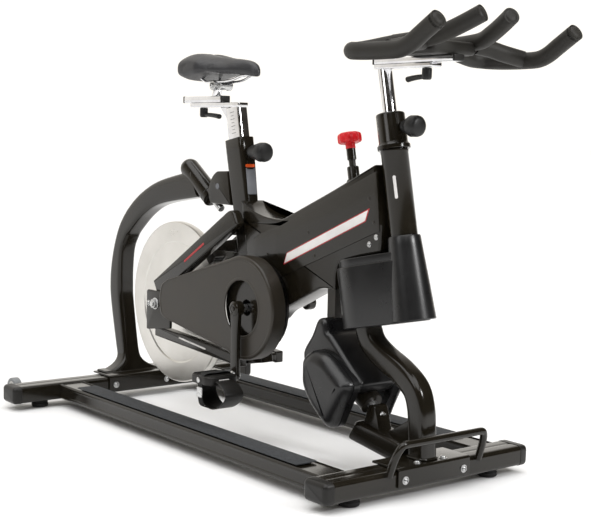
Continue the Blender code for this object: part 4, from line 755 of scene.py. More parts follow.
tube_rows = seat_rows([(0.195, -0.002), (0.196, 0.0), (0.560, 0.0), (0.640, 0.004), (0.700, 0.007),
                       (0.7480, 0.0095), (0.7735, 0.010), (0.7750, 0.0085), (0.7752, -0.003), (0.7640,
                                                                                               -0.005)])
piece("seat_tube_drawn", tube_rows, *FRAME_PAINT, ["seat_tube"])
u_seat, v_seat, _ = basis(SEAT_AXIS)


def seat_decal(name, low, high, lift, mat):
    """A printed film on the front face of the seat tube; lift is its distance from the tube's axis."""
    centre = on_seat((low + high) / 2)
    length = (high - low) / SEAT_AXIS[2]
    film = slab_grid(rectangle(0.029, length, 0.003, 4), 0.0340, lift, 0.0003, 2)
    front = u_seat if u_seat[0] > 0 else -u_seat
    rows = centre + film[..., 2:3] * front + film[..., 0:1] * v_seat + film[..., 1:2] * SEAT_AXIS
    return piece(name, rows, mat, "frame", "black_paint")


seat_decal("orange_seat_stripe", 0.6955, 0.7035, 0.03725, ORANGE_FILM)
seat_decal("grey_seat_panel", 0.6255, 0.6945, 0.03675, GREY_FILM)
for word, side in SIDES:
    bridge = rounded([(-0.150, 0.525), (-0.110, 0.525), (-0.110, 0.565), (-0.150, 0.565)], 0.008)
    side_slab("stay_bridge_" + word, bridge, *across(side, 0.017, 0.0457), 0.004, *FRAME_PAINT,
              ["seat_tube"])
    low_bridge = rounded([(-0.083, 0.1957), (-0.043, 0.1957), (-0.043, 0.2183), (-0.083, 0.2183)], 0.006)
    side_slab("low_bridge_" + word, low_bridge, *across(side, 0.017, 0.0453), 0.003, *FRAME_PAINT,
              ["seat_tube"])

# %% [markdown]
# The main beam is one moulding that runs from the seat tube to the head tube. It is broad at
# the head, sweeps down in a smooth curve behind the lower cover, and carries a raised panel.
# The side outline is carried across the bike with rounded edges.

# %% Main beam
beam_side = rounded([(-0.0485, 0.335), (-0.0930, 0.5700), (0.004, 0.5690), (0.064, 0.5755), (0.150, 0.612),
                     (0.250, 0.6535), (0.4085, 0.724), (0.4360, 0.590), (0.4345, 0.526), (0.345, 0.507),
                     (0.292, 0.492), (0.280, 0.465), (0.280, 0.4240), (0.2266, 0.4240), (0.100, 0.364),
                     (0.052, 0.343), (0.028, 0.318), (-0.012, 0.312), (-0.036, 0.320)],
                    [0.004, 0.004, 0.02, 0.03, 0.04, 0.04, 0.004, 0.004, 0.006, 0.03, 0.012, 0.012, 0.004,
                     0.02,
                     0.03, 0.02, 0.012, 0.012, 0.008], 5)
side_slab("main_beam_shell", beam_side, -0.035, 0.035, 0.006, *FRAME_PAINT, ["main_beam"])
fold_edge = rounded([(-0.1010, 0.6165), (-0.073, 0.600), (-0.036, 0.588), (0.004, 0.580), (0.064, 0.5765),
                     (0.100, 0.5790), (0.100, 0.5600), (-0.0905, 0.5600)],
                    [0.001, 0.02, 0.02, 0.02, 0.02, 0.002, 0.002, 0.002], 5)
side_slab("gusset_fold", fold_edge, -0.0350, 0.0350, 0.0020, *FRAME_PAINT)
panel = rounded([(-0.0400, 0.484), (-0.0440, 0.5225), (-0.0150, 0.5385), (0.0620, 0.5600), (0.4180, 0.7100),
                 (0.4290, 0.620), (0.4330, 0.5740), (0.4180, 0.5690), (0.0690, 0.4320), (0.0500, 0.4330),
                 (0.0300, 0.4560)],
                [0.004, 0.006, 0.01, 0.02, 0.006, 0.01, 0.004, 0.01, 0.012, 0.012, 0.02], 5)


def band_between(start, end, half_height, slant=0.0):
    """A slanted strip between two places on the beam's side."""
    start, end = np.asarray(start, float), np.asarray(end, float)
    along = (end - start) / np.linalg.norm(end - start)
    rise = np.array([0.22, 0.97]) * half_height
    return rounded([start - rise, end - rise, end + rise + along * slant, start + rise + along * slant],
                   0.002)


for word, side in SIDES:
    side_slab("beam_panel_" + word, panel, *across(side, 0.030, 0.0372), 0.0016, *FRAME_PAINT)
    side_slab("beam_stripe_edge_" + word, band_between((0.0880, 0.4810), (0.3900, 0.6080), 0.0150, 0.006),
              *across(side, 0.0365, 0.03755), 0.0002, RED_FILM, "frame", "red_plastic")
    side_slab("beam_stripe_" + word, band_between((0.0915, 0.4825), (0.3865, 0.6065), 0.0122, 0.005),
              *across(side, 0.0365, 0.0379), 0.0002, WHITE_FILM, "frame", "bright_steel")
    for number, (x, z) in enumerate([(0.3982, 0.5300), (0.4210, 0.5480)]):
        button_bolt(f"beam_screw_{word}_{number}", at(x, z + 0.012, side * 0.035), (0, side, 0), 0.0050,
                    "frame")
    for number, (x, z) in enumerate([(0.3955, 0.6460), (0.4130, 0.5936), (0.1791, 0.5541), (0.2049, 0.4991),
                                     (0.0189, 0.4866)]):
        turned(f"panel_screw_{word}_{number}", [(0.0005, -0.001), (0.0042, -0.001), (0.0042, 0.0004),
                                                (0.0026, 0.0008),
                                                (0.0020, 0.0001), (0.0005, 0.0)],
               at(x, z, side * 0.0372), (0, side, 0), SATIN_BLACK, "frame", "black_paint", count=20)

# %% [markdown]
# The head tube is turned tube with a plain lip at each end. The stays are flat box tubes. Their
# flat sides face outwards, and the lower ones end in plates that hold the flywheel's axle.

# %% Head tube and stays
head_rows = [(0.0225, 0.0), (0.0305, 0.0), (0.032, 0.0012), (0.032, 0.004), (0.0312, 0.005), (0.0312,
                                                                                              0.240),
             (0.032, 0.2412), (0.032, 0.2462), (0.0305, 0.2474), (0.0225, 0.2474)]
turned("head_tube_turned", head_rows, on_head(0.515), STEER_AXIS, *FRAME_PAINT, ["head_tube"],
       ring=True)
# A thin white film strip on the side of the head tube that faces the camera: a painted highlight, not a printed
# mark.
highlight_strip = slab_grid(rectangle(0.007, 0.052, 0.003, 5), 0.0309, 0.0317, 0.0003, 2)
facing_out = np.array([0.56, -0.83, 0.0])
facing_out = facing_out - STEER_AXIS * (facing_out @ STEER_AXIS)
facing_out /= np.linalg.norm(facing_out)
beside = np.cross(STEER_AXIS, facing_out)
# Painted highlight: the white strip stands in for light on the glossy head tube.
piece("head_tube_bar_mark", on_head(0.672) + highlight_strip[..., 0:1] * beside + highlight_strip[..., 1:2] * STEER_AXIS
      + highlight_strip[..., 2:3] * facing_out, WHITE_FILM, "frame", "bright_steel")
AX, AZ = WHEEL_POINT[0] - BB_X, WHEEL_POINT[2]
SOUTH = np.array([AX - 0.014, AZ + 0.040])
NORTH = np.array([-0.0786, 0.579])
for word, side in SIDES:
    along = (NORTH - SOUTH) / np.linalg.norm(NORTH - SOUTH)
    out = np.array([-along[1], along[0]]) * 0.025
    stay = rounded([SOUTH - out, NORTH - out, NORTH + out, SOUTH + out], [0.004, 0.006, 0.030, 0.004], 8)
    near, far = across(side, 0.0455, 0.0725)
    side_slab("seat_stay_tube_" + word, stay, near, far, 0.005, *FRAME_PAINT,
              ["seat_stay_" + word])
    lower = rounded([(AX - 0.015, 0.246), (AX - 0.015, 0.217), (-0.048, 0.190), (-0.048, 0.220)], 0.004)
    side_slab("chain_stay_tube_" + word, lower, near, far, 0.004, *FRAME_PAINT,
              ["chain_stay_" + word])
    drop = rounded([(AX - 0.046, AZ + 0.036), (AX + 0.030, AZ + 0.036), (AX + 0.076, AZ), (AX + 0.076,
                                                                                           AZ - 0.062),
                    (AX - 0.046, AZ - 0.078)], [0.010, 0.010, 0.014, 0.006, 0.006])
    side_slab("dropout_plate_" + word, drop, *across(side, 0.0728, 0.0808), 0.0015, *FRAME_PAINT,
              ["chain_stay_" + word])
    middle = np.array([-0.2620, 0.4690])
    tag = [middle - along * 0.055 - out * 0.12, middle + along * 0.055 - out * 0.12,
           middle + along * 0.055 + out * 0.12,
           middle - along * 0.055 + out * 0.12]
    side_slab("seat_stay_stripe_" + word, rounded(tag, 0.002), *across(side, 0.0720, 0.0729), 0.0003,
              RED_FILM, "frame",
              "red_plastic")
    bar = rounded([(AX + 0.110, 0.2255), (AX + 0.240, 0.2125), (AX + 0.240, 0.2175), (AX + 0.110, 0.2305)],
                  0.002)
    side_slab("chain_stay_stripe_" + word, bar, *across(side, 0.0720, 0.0729), 0.0003, WHITE_FILM, "frame",
              "bright_steel")
    for part, size, start, end in (("washer", 0.0165, 0.0808, 0.0828), ("nut", 0.0138, 0.0828, 0.0905),
                                   ("end", 0.0080, 0.0905, 0.0948)):
        plan = circle(size, 6 if part == "nut" else 28) + [AX, AZ]
        side_slab(f"axle_{part}_{word}", plan, *across(side, start, end), 0.0009, ZINC, "frame",
                  "bright_steel",
                  ["flywheel_axle"])
    button_bolt("tensioner_screw_" + word, at(AX - 0.034, AZ - 0.002, side * 0.0808), (0, side, 0), 0.0060,
                "frame")
turned("flywheel_spindle", [(0.0005, -0.0805), (0.0080, -0.0805), (0.0080, 0.0805), (0.0005, 0.0805)],
       WHEEL_POINT,
       (0, 1, 0), ZINC, "frame", "bright_steel", ["flywheel_axle"])

# %% [markdown]
# The flywheel is cast iron, faced on both sides and plated. Its rim is thicker than its web,
# and a hub with a sprocket sits in the middle.

# %% Flywheel
WHEEL_R = 0.2286
half_wheel = [(0.0087, 0.0446), (0.0185, 0.0446), (0.0200, 0.0430), (0.0310, 0.0165), (0.0340, 0.0125),
              (0.0440, 0.0110), (0.0600, 0.0105), (0.0640, 0.0085), (0.1700, 0.0085), (0.1740, 0.0108),
              (0.2255, 0.0110), (0.2278, 0.0100), (WHEEL_R, 0.0078)]
chain_side = [(WHEEL_R, -0.0078), (0.2278, -0.0100), (0.2255, -0.0110), (0.1740, -0.0108), (0.1700,
                                                                                            -0.0085),
              (0.0640, -0.0085), (0.0600, -0.0105), (0.0440, -0.0110), (0.0340, -0.0125), (0.0310, -0.0165),
              (0.0200, -0.0365), (0.0222, -0.0370), (0.0222, -0.0430), (0.0150, -0.0431), (0.0087, -0.0446)]
turned("flywheel_disc", half_wheel + chain_side, WHEEL_POINT, (0, 1, 0), FACED_STEEL, "flywheel",
       "brushed_disc",
       ["flywheel"], count=128, sharp=20.0, ring=True)

# %% [markdown]
# The chain guard is a shallow dish with a round window. Its outline is an arc round the
# cranks and a tapering tail. Rows run from the window's rim across the face, round the edge
# and back inside, and every row uses the same directions from the bottom bracket.

# %% Chain guard
def reach_of(outline, turns):
    """Distance from the bottom bracket to an outline in each direction, from dense points."""
    rel = outline - [0.0, BB_Z]
    angle = np.unwrap(np.arctan2(rel[:, 1], rel[:, 0]))
    order = np.argsort(np.mod(angle, 2 * math.pi))
    distance = np.linalg.norm(rel, axis=1)
    return np.interp(np.mod(turns, 2 * math.pi), np.mod(angle, 2 * math.pi)[order], distance[order],
                     period=2 * math.pi)


def guard_rows(tail_x, radius, count=220):
    """The guard's rows: each is the window's circle blended towards the outline."""
    tail = rounded([(tail_x + 0.030, 0.389), (tail_x, 0.372), (tail_x - 0.008, 0.330), (tail_x, 0.290),
                    (tail_x + 0.030, 0.279)], [0.001, 0.016, 0.03, 0.016, 0.001], 10)[1:-1]
    turns = np.radians(np.linspace(-118, 112, 90))
    disc = np.stack([radius * np.cos(turns), BB_Z + radius * np.sin(turns)], axis=1)
    top = np.linspace(disc[-1], tail[0], 60)[1:-1]
    low = np.linspace(tail[-1], disc[0], 60)[1:-1]
    outline = np.vstack([disc, top, tail, low])
    half = count // 2
    spread = np.radians(np.concatenate([np.linspace(-150, 150, half, endpoint=False),
                                        np.linspace(150, 210, half, endpoint=False)]))
    rim = reach_of(outline, spread)
    ray = np.stack([np.cos(spread), np.sin(spread)], axis=1)
    turn = np.linspace(0, math.pi / 2, 6)
    edge = 0.006
    made = []
    for inner, depth in ((0.0700, 0.0028), (0.0702, 0.0010), (0.0715, 0.0), (0.0765, 0.0), (0.0775,
                                                                                            0.0008)):
        made.append((np.full(len(rim), inner), depth))
    made += [(rim - edge - 0.004, 0.0008), (rim - edge - 0.003, 0.0)]
    made += [(rim - edge * (1 - math.sin(a)), edge * (1 - math.cos(a))) for a in turn]
    front = np.clip((ray[:, 0] + 0.15) / 0.5, 0, 1)
    deep = 0.0235 + 0.0170 * front ** 2 * (3 - 2 * front)
    made += [(rim, deep), (rim - 0.003, deep), (rim - 0.003, 0.0075), (rim - 0.008, 0.0028)]
    points = [np.stack([ray[:, 0] * r + BB_X, -0.105 + depth + 0 * r, BB_Z + ray[:, 1] * r], axis=1)
              for r, depth in made]
    return np.array(points)


piece("chain_guard_dish", guard_rows(-0.379, 0.132), GUARD_ABS, "frame", "black_plastic", ["chain_guard"],
      wrap_rows=True, sharp=30.0)
turned("guard_backing_disc", [(0.0210, 0.0), (0.0900, 0.0), (0.0900, 0.0020), (0.0210, 0.0020)],
       at(0, BB_Z, -0.0860), (0, 1, 0), GLOSS_BLACK, "frame", "black_plastic", ring=True)

# %% [markdown]
# The rear bracket is welded to the seat tube and hangs in the rear bearing. The brake is a
# shoe on the rim, held by an arm and worked from the knob on the main beam.

# %% Rear bracket and brake
bracket_side = rounded([(-0.1655, 0.600), (-0.1830, 0.690), (-0.237, 0.688), (-0.258, 0.670), (-0.2735,
                                                                                               0.640),
                        (-0.2735, 0.6195), (-0.262, 0.602)], [0.002, 0.004, 0.012, 0.008, 0.008, 0.008,
                                                              0.008])
side_slab("rear_bracket_plate", bracket_side, -0.022, 0.022, 0.003, *FRAME_PAINT,
          ["rear_pivot_bracket"])
for word, side in SIDES:
    badge_profile = [(0.0005, -0.001), (0.0080, -0.001), (0.0080, 0.0006), (0.0074, 0.0011), (0.0005,
                                                                                              0.0012)]
    turned("bracket_disc_mark_" + word, badge_profile, at(-0.228, 0.648, side * 0.022), (0, side, 0),
           GREY_FILM,
           "frame", "bright_steel")
seam_line = [on_seat(z) + u_seat * (-0.0345 if u_seat[0] > 0 else 0.0345) for z in (0.602, 0.645, 0.689)]
rod("bracket_weld", seam_line, 0.0026, ZINC, "frame", "bright_steel", (), 0.002, 12)

BRAKE_TURN = math.radians(41)
brake_out = np.array([math.cos(BRAKE_TURN), 0.0, math.sin(BRAKE_TURN)])
brake_side = np.array([-math.sin(BRAKE_TURN), 0.0, math.cos(BRAKE_TURN)])
RIM = WHEEL_POINT + brake_out * WHEEL_R
plate_end = RIM + brake_out * 0.030
arm_side = rounded([(-0.1430, 0.476), (-0.1500, 0.512), (plate_end[0] - BB_X - 0.004, plate_end[2] + 0.016),
                    (plate_end[0] - BB_X + 0.010, plate_end[2] - 0.004)], [0.001, 0.004, 0.006, 0.006])
side_slab("brake_arm", arm_side, -0.016, 0.016, 0.002, *FRAME_PAINT, ["brake_bracket"])


def shoe_part(name, outline, low, high, mat, edge=0.0015):
    """A slab of the brake shoe: outline in (along the rim, away from it), across the wheel."""
    grid = slab_grid(np.asarray(outline), low, high, edge)
    rows = RIM - grid[..., :1] * brake_side + grid[..., 1:2] * brake_out + grid[..., 2:] * np.array([0,
                                                                                                    1.0, 0])
    return piece(name, rows, mat, "brake_shoe", "black_paint", ["brake_shoe"])


shoe_part("brake_pad", rounded([(-0.022, 0.004), (0.022, 0.004), (0.022, 0.010), (-0.022, 0.010)], 0.001),
          -0.0135,
          0.0135, FOOT_RUBBER)
cheek = rounded([(-0.022, -0.016), (0.022, -0.016), (0.022, 0.020), (-0.022, 0.020)], 0.005)
shoe_part("brake_cheek_right", cheek, -0.020, -0.0142, SATIN_BLACK)
shoe_part("brake_cheek_left", cheek, 0.0142, 0.020, SATIN_BLACK)
shoe_part("brake_back", rounded([(-0.020, 0.0105), (0.020, 0.0105), (0.020, 0.0195), (-0.020, 0.0195)],
                                0.003),
          -0.0145, 0.0145, SATIN_BLACK)
for word, side in SIDES:
    button_bolt("brake_bolt_" + word, RIM + brake_out * 0.012 + np.array([0, side * 0.020, 0]), (0, side,
                                                                                                 0), 0.0052,
             "brake_shoe")

# %% [markdown]
# The lower cover hides the front pivot. It is moulded in two halves: a body in the middle and
# two bulging lobes that straddle the spine. A soft crease runs down each side.

# %% Lower cover
upper_side = smooth([(0.246, 0.352), (0.224, 0.312), (0.193, 0.264), (0.211, 0.216), (0.242, 0.190),
                     (0.300, 0.187),
                     (0.372, 0.190), (0.403, 0.211), (0.397, 0.233), (0.345, 0.279), (0.300, 0.316),
                     (0.284, 0.326),
                     (0.272, 0.352)], 5, closed=True)
side_slab("cover_body", upper_side, -0.060, 0.060, 0.014, *FRAME_COVER, ["lower_housing"])
lobe_side = smooth([(0.238, 0.262), (0.234, 0.228), (0.238, 0.194), (0.262, 0.158), (0.294, 0.131), (0.327,
                                                                                                     0.109),
                    (0.351, 0.115), (0.366, 0.142), (0.382, 0.172), (0.401, 0.208), (0.396, 0.229), (0.364,
                                                                                                     0.252),
                    (0.330, 0.274), (0.300, 0.283), (0.268, 0.283)], 5, closed=True)


def lobe_rows(side):
    """The lobe swells outwards: its inset falls as a quarter ellipse, and a groove 2 mm deep runs round it."""
    normals = outline_normals(lobe_side)
    inset = [0.003, 0.0, 0.0, 0.0, 0.0020, 0.0022, 0.0004]
    level = [0.0525, 0.0545, 0.0570, 0.0720, 0.0724, 0.0740, 0.0746]
    turn = np.linspace(0.0, math.pi / 2, 10)[1:]
    inset += list(0.0004 + 0.030 * (1 - np.cos(turn)))
    level += list(0.0746 + 0.0304 * np.sin(turn))
    plan = lobe_side[None] - normals[None] * np.array(inset)[:, None, None]
    y = side * np.broadcast_to(np.array(level)[:, None], plan.shape[:2])
    return np.stack([plan[..., 0] + BB_X, y, plan[..., 1]], axis=2)


for word, side in SIDES:
    piece("cover_lobe_" + word, lobe_rows(side), *FRAME_COVER, ["lower_housing"], sharp=50.0)
    for number, (x, z) in enumerate([(0.262, 0.240), (0.318, 0.142), (0.352, 0.232)]):
        turned(f"cover_screw_{word}_{number}", [(0.0005, -0.002), (0.0050, -0.002), (0.0050, 0.0006),
                                                (0.0030, 0.0010),
                                                (0.0022, 0.0002), (0.0005, 0.0)],
               at(x, z, side * 0.1035), (0, side, 0), DARK_STEEL, "frame", "black_plastic", count=20)
print("frame done:", len(PIECES), "pieces")

# %% [markdown]
# ## Steering
# The steering shell is moulded like a flared boot: a cone on the head tube that swells into a
# drum over the front post's ball, with a smaller lid. The drum and its lid are two circles and
# the straight walls between them, so that the cone stands out of them in a soft crease.

# %% Steering shell and collar
neck = [(0.0005, -0.005), (0.0495, -0.005), (0.0510, -0.003), (0.0500, 0.010), (0.0458, 0.070), (0.0415,
                                                                                                 0.125),
        (0.0385, 0.165), (0.0372, 0.183), (0.0360, 0.1862), (0.0322, 0.1868), (0.0320, 0.178), (0.0005,
                                                                                                0.176)]
turned("shell_neck", neck, on_head(0.383), STEER_AXIS, *STEERING_COVER, ["steering_shell"], 72)
drum_low = at(0.390, 0.341) + STEER_AXIS * 0.008
ahead = basis(STEER_AXIS)[0]
neck_reach = float((on_head(0.45) - drum_low) @ ahead)
for word, drum_r, neck_r, low, high, edge in (("drum", 0.0745, 0.0385, 0.0, 0.143, 0.0040),
                                              ("lid", 0.0680, 0.0360, 0.140, 0.161, 0.0030)):
    axis_slab("shell_" + word, hull_outline((0, 0), drum_r, (neck_reach, 0), neck_r, 48), drum_low,
              STEER_AXIS,
              low, high, edge, *STEERING_COVER, ["steering_shell"], 50.0)
for word, side in SIDES:
    turned("shell_screw_" + word, [(0.0005, -0.003), (0.0045, -0.003), (0.0045, 0.0004), (0.0030, 0.0009),
                                   (0.0020, 0.0001), (0.0005, 0.0)],
           on_head(0.478) + np.array([0.020, side * 0.0372, 0.004]), (0.45, side * 0.89, 0.0), DARK_STEEL,
           "steering",
           "black_plastic", count=20)
collar = [(0.0218, 0.0), (0.0365, 0.0), (0.0375, 0.001), (0.0375, 0.009), (0.0362, 0.0105), (0.0335,
                                                                                             0.0145),
          (0.0330, 0.0165), (0.0330, 0.0785), (0.0322, 0.0810), (0.0300, 0.0825), (0.0218, 0.0825)]
turned("head_collar_turned", collar, on_head(0.757) + STEER_AXIS * 0.001, STEER_AXIS, GLOSS_BLACK,
       "steering",
       "black_paint", ["head_collar"], ring=True)

# %% [markdown]
# The handlebar post and the seat post are chromed tube. A flat guide is welded across the top
# of each, and a slider with the bar or the saddle on it runs along the guide. A rounded lever
# underneath clamps it.

# %% Handlebar post, slider and levers
rod("chromed_bar_post", [on_head(0.560), on_head(0.750), on_head(0.943)], 0.016, CHROME, "handlebar_post",
    "chrome",
    ["handlebar_post"], 0.001, 48)


def flat_bar(name, x_low, x_high, z_low, z_high, half, mat, body, slot, covers=(), edge=0.0015,
             radius=0.004):
    """A flat bar along the bike with rounded ends and edges."""
    plan = rectangle(x_high - x_low, 2 * half, radius) + [(x_low + x_high) / 2, 0]
    grid = slab_grid(plan, z_low, z_high, edge, 3)
    return piece(name, grid + [BB_X, 0, 0], mat, body, slot, covers)


flat_bar("bar_guide", 0.375, 0.560, 0.938, 0.948, 0.017, CHROME, "handlebar_post", "chrome",
         ["handlebar_post"])
flat_bar("bar_slider", 0.371, 0.625, 0.9483, 0.9623, 0.015, CHROME, "handlebar", "chrome",
         ["handlebar_slider"],
         0.003, 0.006)
for word, x in (("rear", 0.3715), ("front", 0.6245)):
    flat_bar("bar_slider_plug_" + word, x - 0.0035, x + 0.0035, 0.9484, 0.9627, 0.0154, CAP_PLASTIC,
             "handlebar",
             "black_plastic", (), 0.002, 0.003)


def clamp_lever(name, top, arm, sign, body, node):
    """A ribbed hub under the guide, and an arm that swells towards its rounded tip."""
    hub = [(0.0005, -0.0260), (0.0080, -0.0260), (0.0102, -0.0240), (0.0110, -0.0200), (0.0110, -0.0030),
           (0.0100, -0.0008), (0.0075, -0.0002), (0.0005, -0.0002)]
    turned(name + "_hub", hub, top, (0, 0, 1), KNOB_RUBBER, body, "black_plastic", [node], count=32)
    line = smooth([(0.0, -0.019), (sign * arm * 0.30, -0.0195), (sign * arm * 0.65, -0.0215),
                   (sign * (arm - 0.004), -0.0245)], 6)
    path = np.stack([top[0] + line[:, 0], np.full(len(line), top[1]), top[2] + line[:, 1]], axis=1)
    rows, _ = rod_rows(path, 1.0, 0.004)
    sizes = 0.0058 + 0.0027 * np.linspace(0, 1, len(rows))
    sizes[-6:] *= np.sqrt(np.maximum(1 - np.linspace(0, 1, 6) ** 2.2, 0.004))
    section = circle(1.0, 24) * [1.0, 0.82]
    piece(name + "_arm", sweep_grid(rows, section, (0, 0, 1), sizes), KNOB_RUBBER, body, "black_plastic",
          [node])


clamp_lever("bar_lever", at(0.531, 0.9377), 0.065, -1, "handlebar_lever", "handlebar_lever")
clamp_lever("saddle_lever", at(-0.329, 0.8577), 0.080, 1, "seat_lever", "seat_lever")

# %% [markdown]
# Each locking pin ends in a pull knob like a small goblet: a threaded neck, a cone that widens
# and a domed head. It is a turned profile along X.

# %% Locking pins
def pull_knob(name, tip, root, length, radius, body):
    """Pin, neck, cone and domed head, as one turned profile."""
    head = length - 0.030
    profile = [(0.0005, 0.0), (0.0040, 0.0), (0.0050, 0.0012), (0.0050, root), (0.0120, root), (0.0128,
                                                                                             root + 0.0015),
               (0.0132, root + 0.0080), (0.0126, root + 0.0095), (0.0140, root + 0.0110)]
    profile += [(0.0172, root + 0.0125), (radius - 0.0012, head + 0.0010),
                (radius, head + 0.0035), (radius, head + 0.0190), (radius - 0.0012, head + 0.0240),
                (radius - 0.0045, head + 0.0278), (radius - 0.0095, head + 0.0296), (0.0005, length)]
    turned(name + "_knob", profile, tip, (1, 0, 0), KNOB_RUBBER, body, "black_plastic", [name], 48, 42.0)


seat_low, seat_high = span("seat_pin")
head_low, head_high = span("head_pin")
seat_pin_z = (seat_low[2] + seat_high[2]) / 2
head_pin_z = (head_low[2] + head_high[2]) / 2
pull_knob("seat_pin", (seat_low[0], 0, seat_pin_z), on_seat(seat_pin_z)[0] + 0.0432 - seat_low[0],
          seat_high[0] - seat_low[0], 0.025, "seat_pin")
pull_knob("head_pin", (head_low[0], 0, head_pin_z), on_head(head_pin_z)[0] + 0.0397 - head_low[0],
          head_high[0] - head_low[0], 0.024, "head_pin")

# %% [markdown]
# The handlebar is steel tube inside a thick foam sleeve, whose ends are moulded round. The
# outer bar is one bend from tip to tip. Two horns rise inside it, and a link ties each to it.

# %% Handlebar
FOAM_R = 0.0185


def foam_bar(name, points, covers=(), steps=10):
    """A foam sleeve along a smooth path, with domed ends."""
    path = smooth(points, steps)
    rows, sizes = rod_rows(path, FOAM_R, 0.013, 8)
    return piece(name, sweep_grid(rows, circle(1.0, 36), (0, 0, 1), sizes), FOAM, "handlebar",
                 "black_foam", covers)


BAR_X, BAR_Z = 0.505, 0.987
half_bar = [(0.265, 1.016, 0.204), (0.240, 1.001, 0.2045), (0.215, 0.986, 0.205), (0.188, 0.970, 0.206),
            (0.160, 0.961, 0.207), (0.120, 0.9595, 0.208), (0.070, 0.960, 0.209), (0.032, 0.9615, 0.209),
            (0.006, 0.9635, 0.199), (-0.006, 0.966, 0.172), (-0.005, 0.973, 0.135), (-0.002, 0.982, 0.095),
            (0.0, 0.990, 0.055), (0.0, 0.993, 0.020)]
outer_bar = [at(BAR_X + x, z, -y) for x, z, y in half_bar] + [at(BAR_X + x, z, y) for x, z,
                                                              y in reversed(half_bar)]
foam_bar("outer_foam_bar", outer_bar, ["handlebar"], 6)
for word, side in SIDES:
    foam_bar("horn_foam_" + word, [at(BAR_X - 0.004, BAR_Z, side * 0.075), at(BAR_X + 0.060, 0.990,
                                                                              side * 0.076),
                                   at(BAR_X + 0.114, 0.995, side * 0.073), at(BAR_X + 0.150, 1.006,
                                                                              side * 0.064),
                                   at(BAR_X + 0.190, 1.0225, side * 0.0530), at(BAR_X + 0.227, 1.040,
                                                                                side * 0.042)],
             ["handlebar"])
    foam_bar("link_foam_" + word, [at(BAR_X + 0.090, 0.986, side * 0.080), at(BAR_X + 0.100, 0.981,
                                                                              side * 0.115),
                                   at(BAR_X + 0.110, 0.972, side * 0.150), at(BAR_X + 0.120, 0.962,
                                                                              side * 0.203)],
             ["handlebar"])
pad_plan = rounded([(0.487, -0.075), (0.615, -0.068), (0.615, 0.068), (0.487, 0.075)], 0.016)
piece("centre_foam_pad", slab_grid(pad_plan, 0.9628, 0.9915, 0.009, 6) + [BB_X, 0, 0], FOAM, "handlebar",
      "black_foam", ["handlebar"])
print("steering done:", len(PIECES), "pieces")

# %% [markdown]
# ## Seat post and saddle clamp
# The seat post is a chromed flat tube with rounded edges, marked with short engraved lines for
# its height. A folded bracket carries the guide on its top.

# %% Seat post
def post_rows(stations):
    """Rounded rectangles 60 by 31 mm along the seat axis, each grown a little."""
    return seat_rows(stations, 0.031, 0.060, 0.0075)


piece("chromed_seat_post", post_rows([(0.560, -0.002), (0.561, 0.0), (0.8570, 0.0), (0.8580, -0.002)]),
      CHROME,
      "seat_post", "chrome", ["seat_post"])
flat_bar("saddle_guide", -0.375, -0.146, 0.858, 0.870, 0.016, CHROME, "seat_post", "chrome", ["seat_post"],
         0.0015)
top_x = on_seat(0.858)[0] - BB_X
gusset_web = rounded([(top_x - 0.026, 0.8585), (top_x - 0.066, 0.8585), (top_x - 0.0225, 0.816)], [0.001,
                                                                                              0.004, 0.004])
side_slab("saddle_guide_gusset", gusset_web, -0.0055, 0.0055, 0.0015, CHROME, "seat_post", "chrome")
for number in range(7):
    z = 0.790 + number * 0.009
    long_mark = 0.012 if number % 2 else 0.018
    plan = rectangle(long_mark, 0.0012, 0.0004, 3)
    film = slab_grid(plan, 0.0153, 0.01565, 0.0001, 2)
    centre = on_seat(z)
    for word, side in SIDES:
        rows = centre + film[..., 0:1] * u_seat + film[..., 1:2] * SEAT_AXIS + film[...,
                                                                             2:3] * np.array([0, side, 0.0])
        piece(f"post_mark_{word}_{number}", rows, DARK_STEEL, "seat_post", "chrome")

flat_bar("saddle_slider", -0.409, -0.229, 0.8703, 0.8883, 0.014, CHROME, "saddle", "chrome",
         ["seat_slider"], 0.003,
         0.005)
for word, x in (("rear", -0.4085), ("front", -0.2295)):
    flat_bar("saddle_slider_plug_" + word, x - 0.0035, x + 0.0035, 0.8704, 0.8887, 0.0144, CAP_PLASTIC,
             "saddle",
             "black_plastic", (), 0.002, 0.003)
rod("saddle_stem", [at(-0.273, 0.880), at(-0.2675, 0.896), at(-0.262, 0.912)], 0.0125, CHROME, "saddle",
    "chrome",
    ["seat_slider"], 0.001, 36)
clamp_side = rounded([(-0.275, 0.904), (-0.222, 0.904), (-0.220, 0.918), (-0.228, 0.9265), (-0.270, 0.9265),
                      (-0.277, 0.916)], 0.006)
side_slab("saddle_clamp_body", clamp_side, -0.0195, 0.0195, 0.003, ZINC, "saddle", "bright_steel",
          ["seat_slider"])
for word, side in SIDES:
    ear = circle(0.0135, 30) + [-0.2480, 0.9155]
    side_slab("saddle_clamp_ear_" + word, ear, *across(side, 0.0180, 0.0300), 0.002, ZINC, "saddle",
              "bright_steel",
              ["seat_slider"])
    button_bolt("saddle_clamp_nut_" + word, at(-0.2480, 0.9155, side * 0.030), (0, side, 0), 0.0062,
                "saddle")
rail_half = [(-0.325, 0.9395, 0.034), (-0.312, 0.9385, 0.0325), (-0.300, 0.935, 0.030), (-0.284, 0.9255,
                                                                                         0.0245),
             (-0.262, 0.9250, 0.0225), (-0.215, 0.9250, 0.0220), (-0.190, 0.9262, 0.0200), (-0.165, 0.9300,
                                                                                            0.0175),
             (-0.140, 0.9370, 0.0150), (-0.122, 0.9390, 0.0110), (-0.112, 0.9392, 0.0040)]
rail_points = [at(x, z, -y) for x, z, y in rail_half] + [at(x, z, y) for x, z, y in reversed(rail_half)]
rod("saddle_rails", smooth(rail_points, 6), 0.0035, CHROME, "saddle", "chrome", ["seat_slider"], 0.001, 16,
    up=(0, 0, 1))

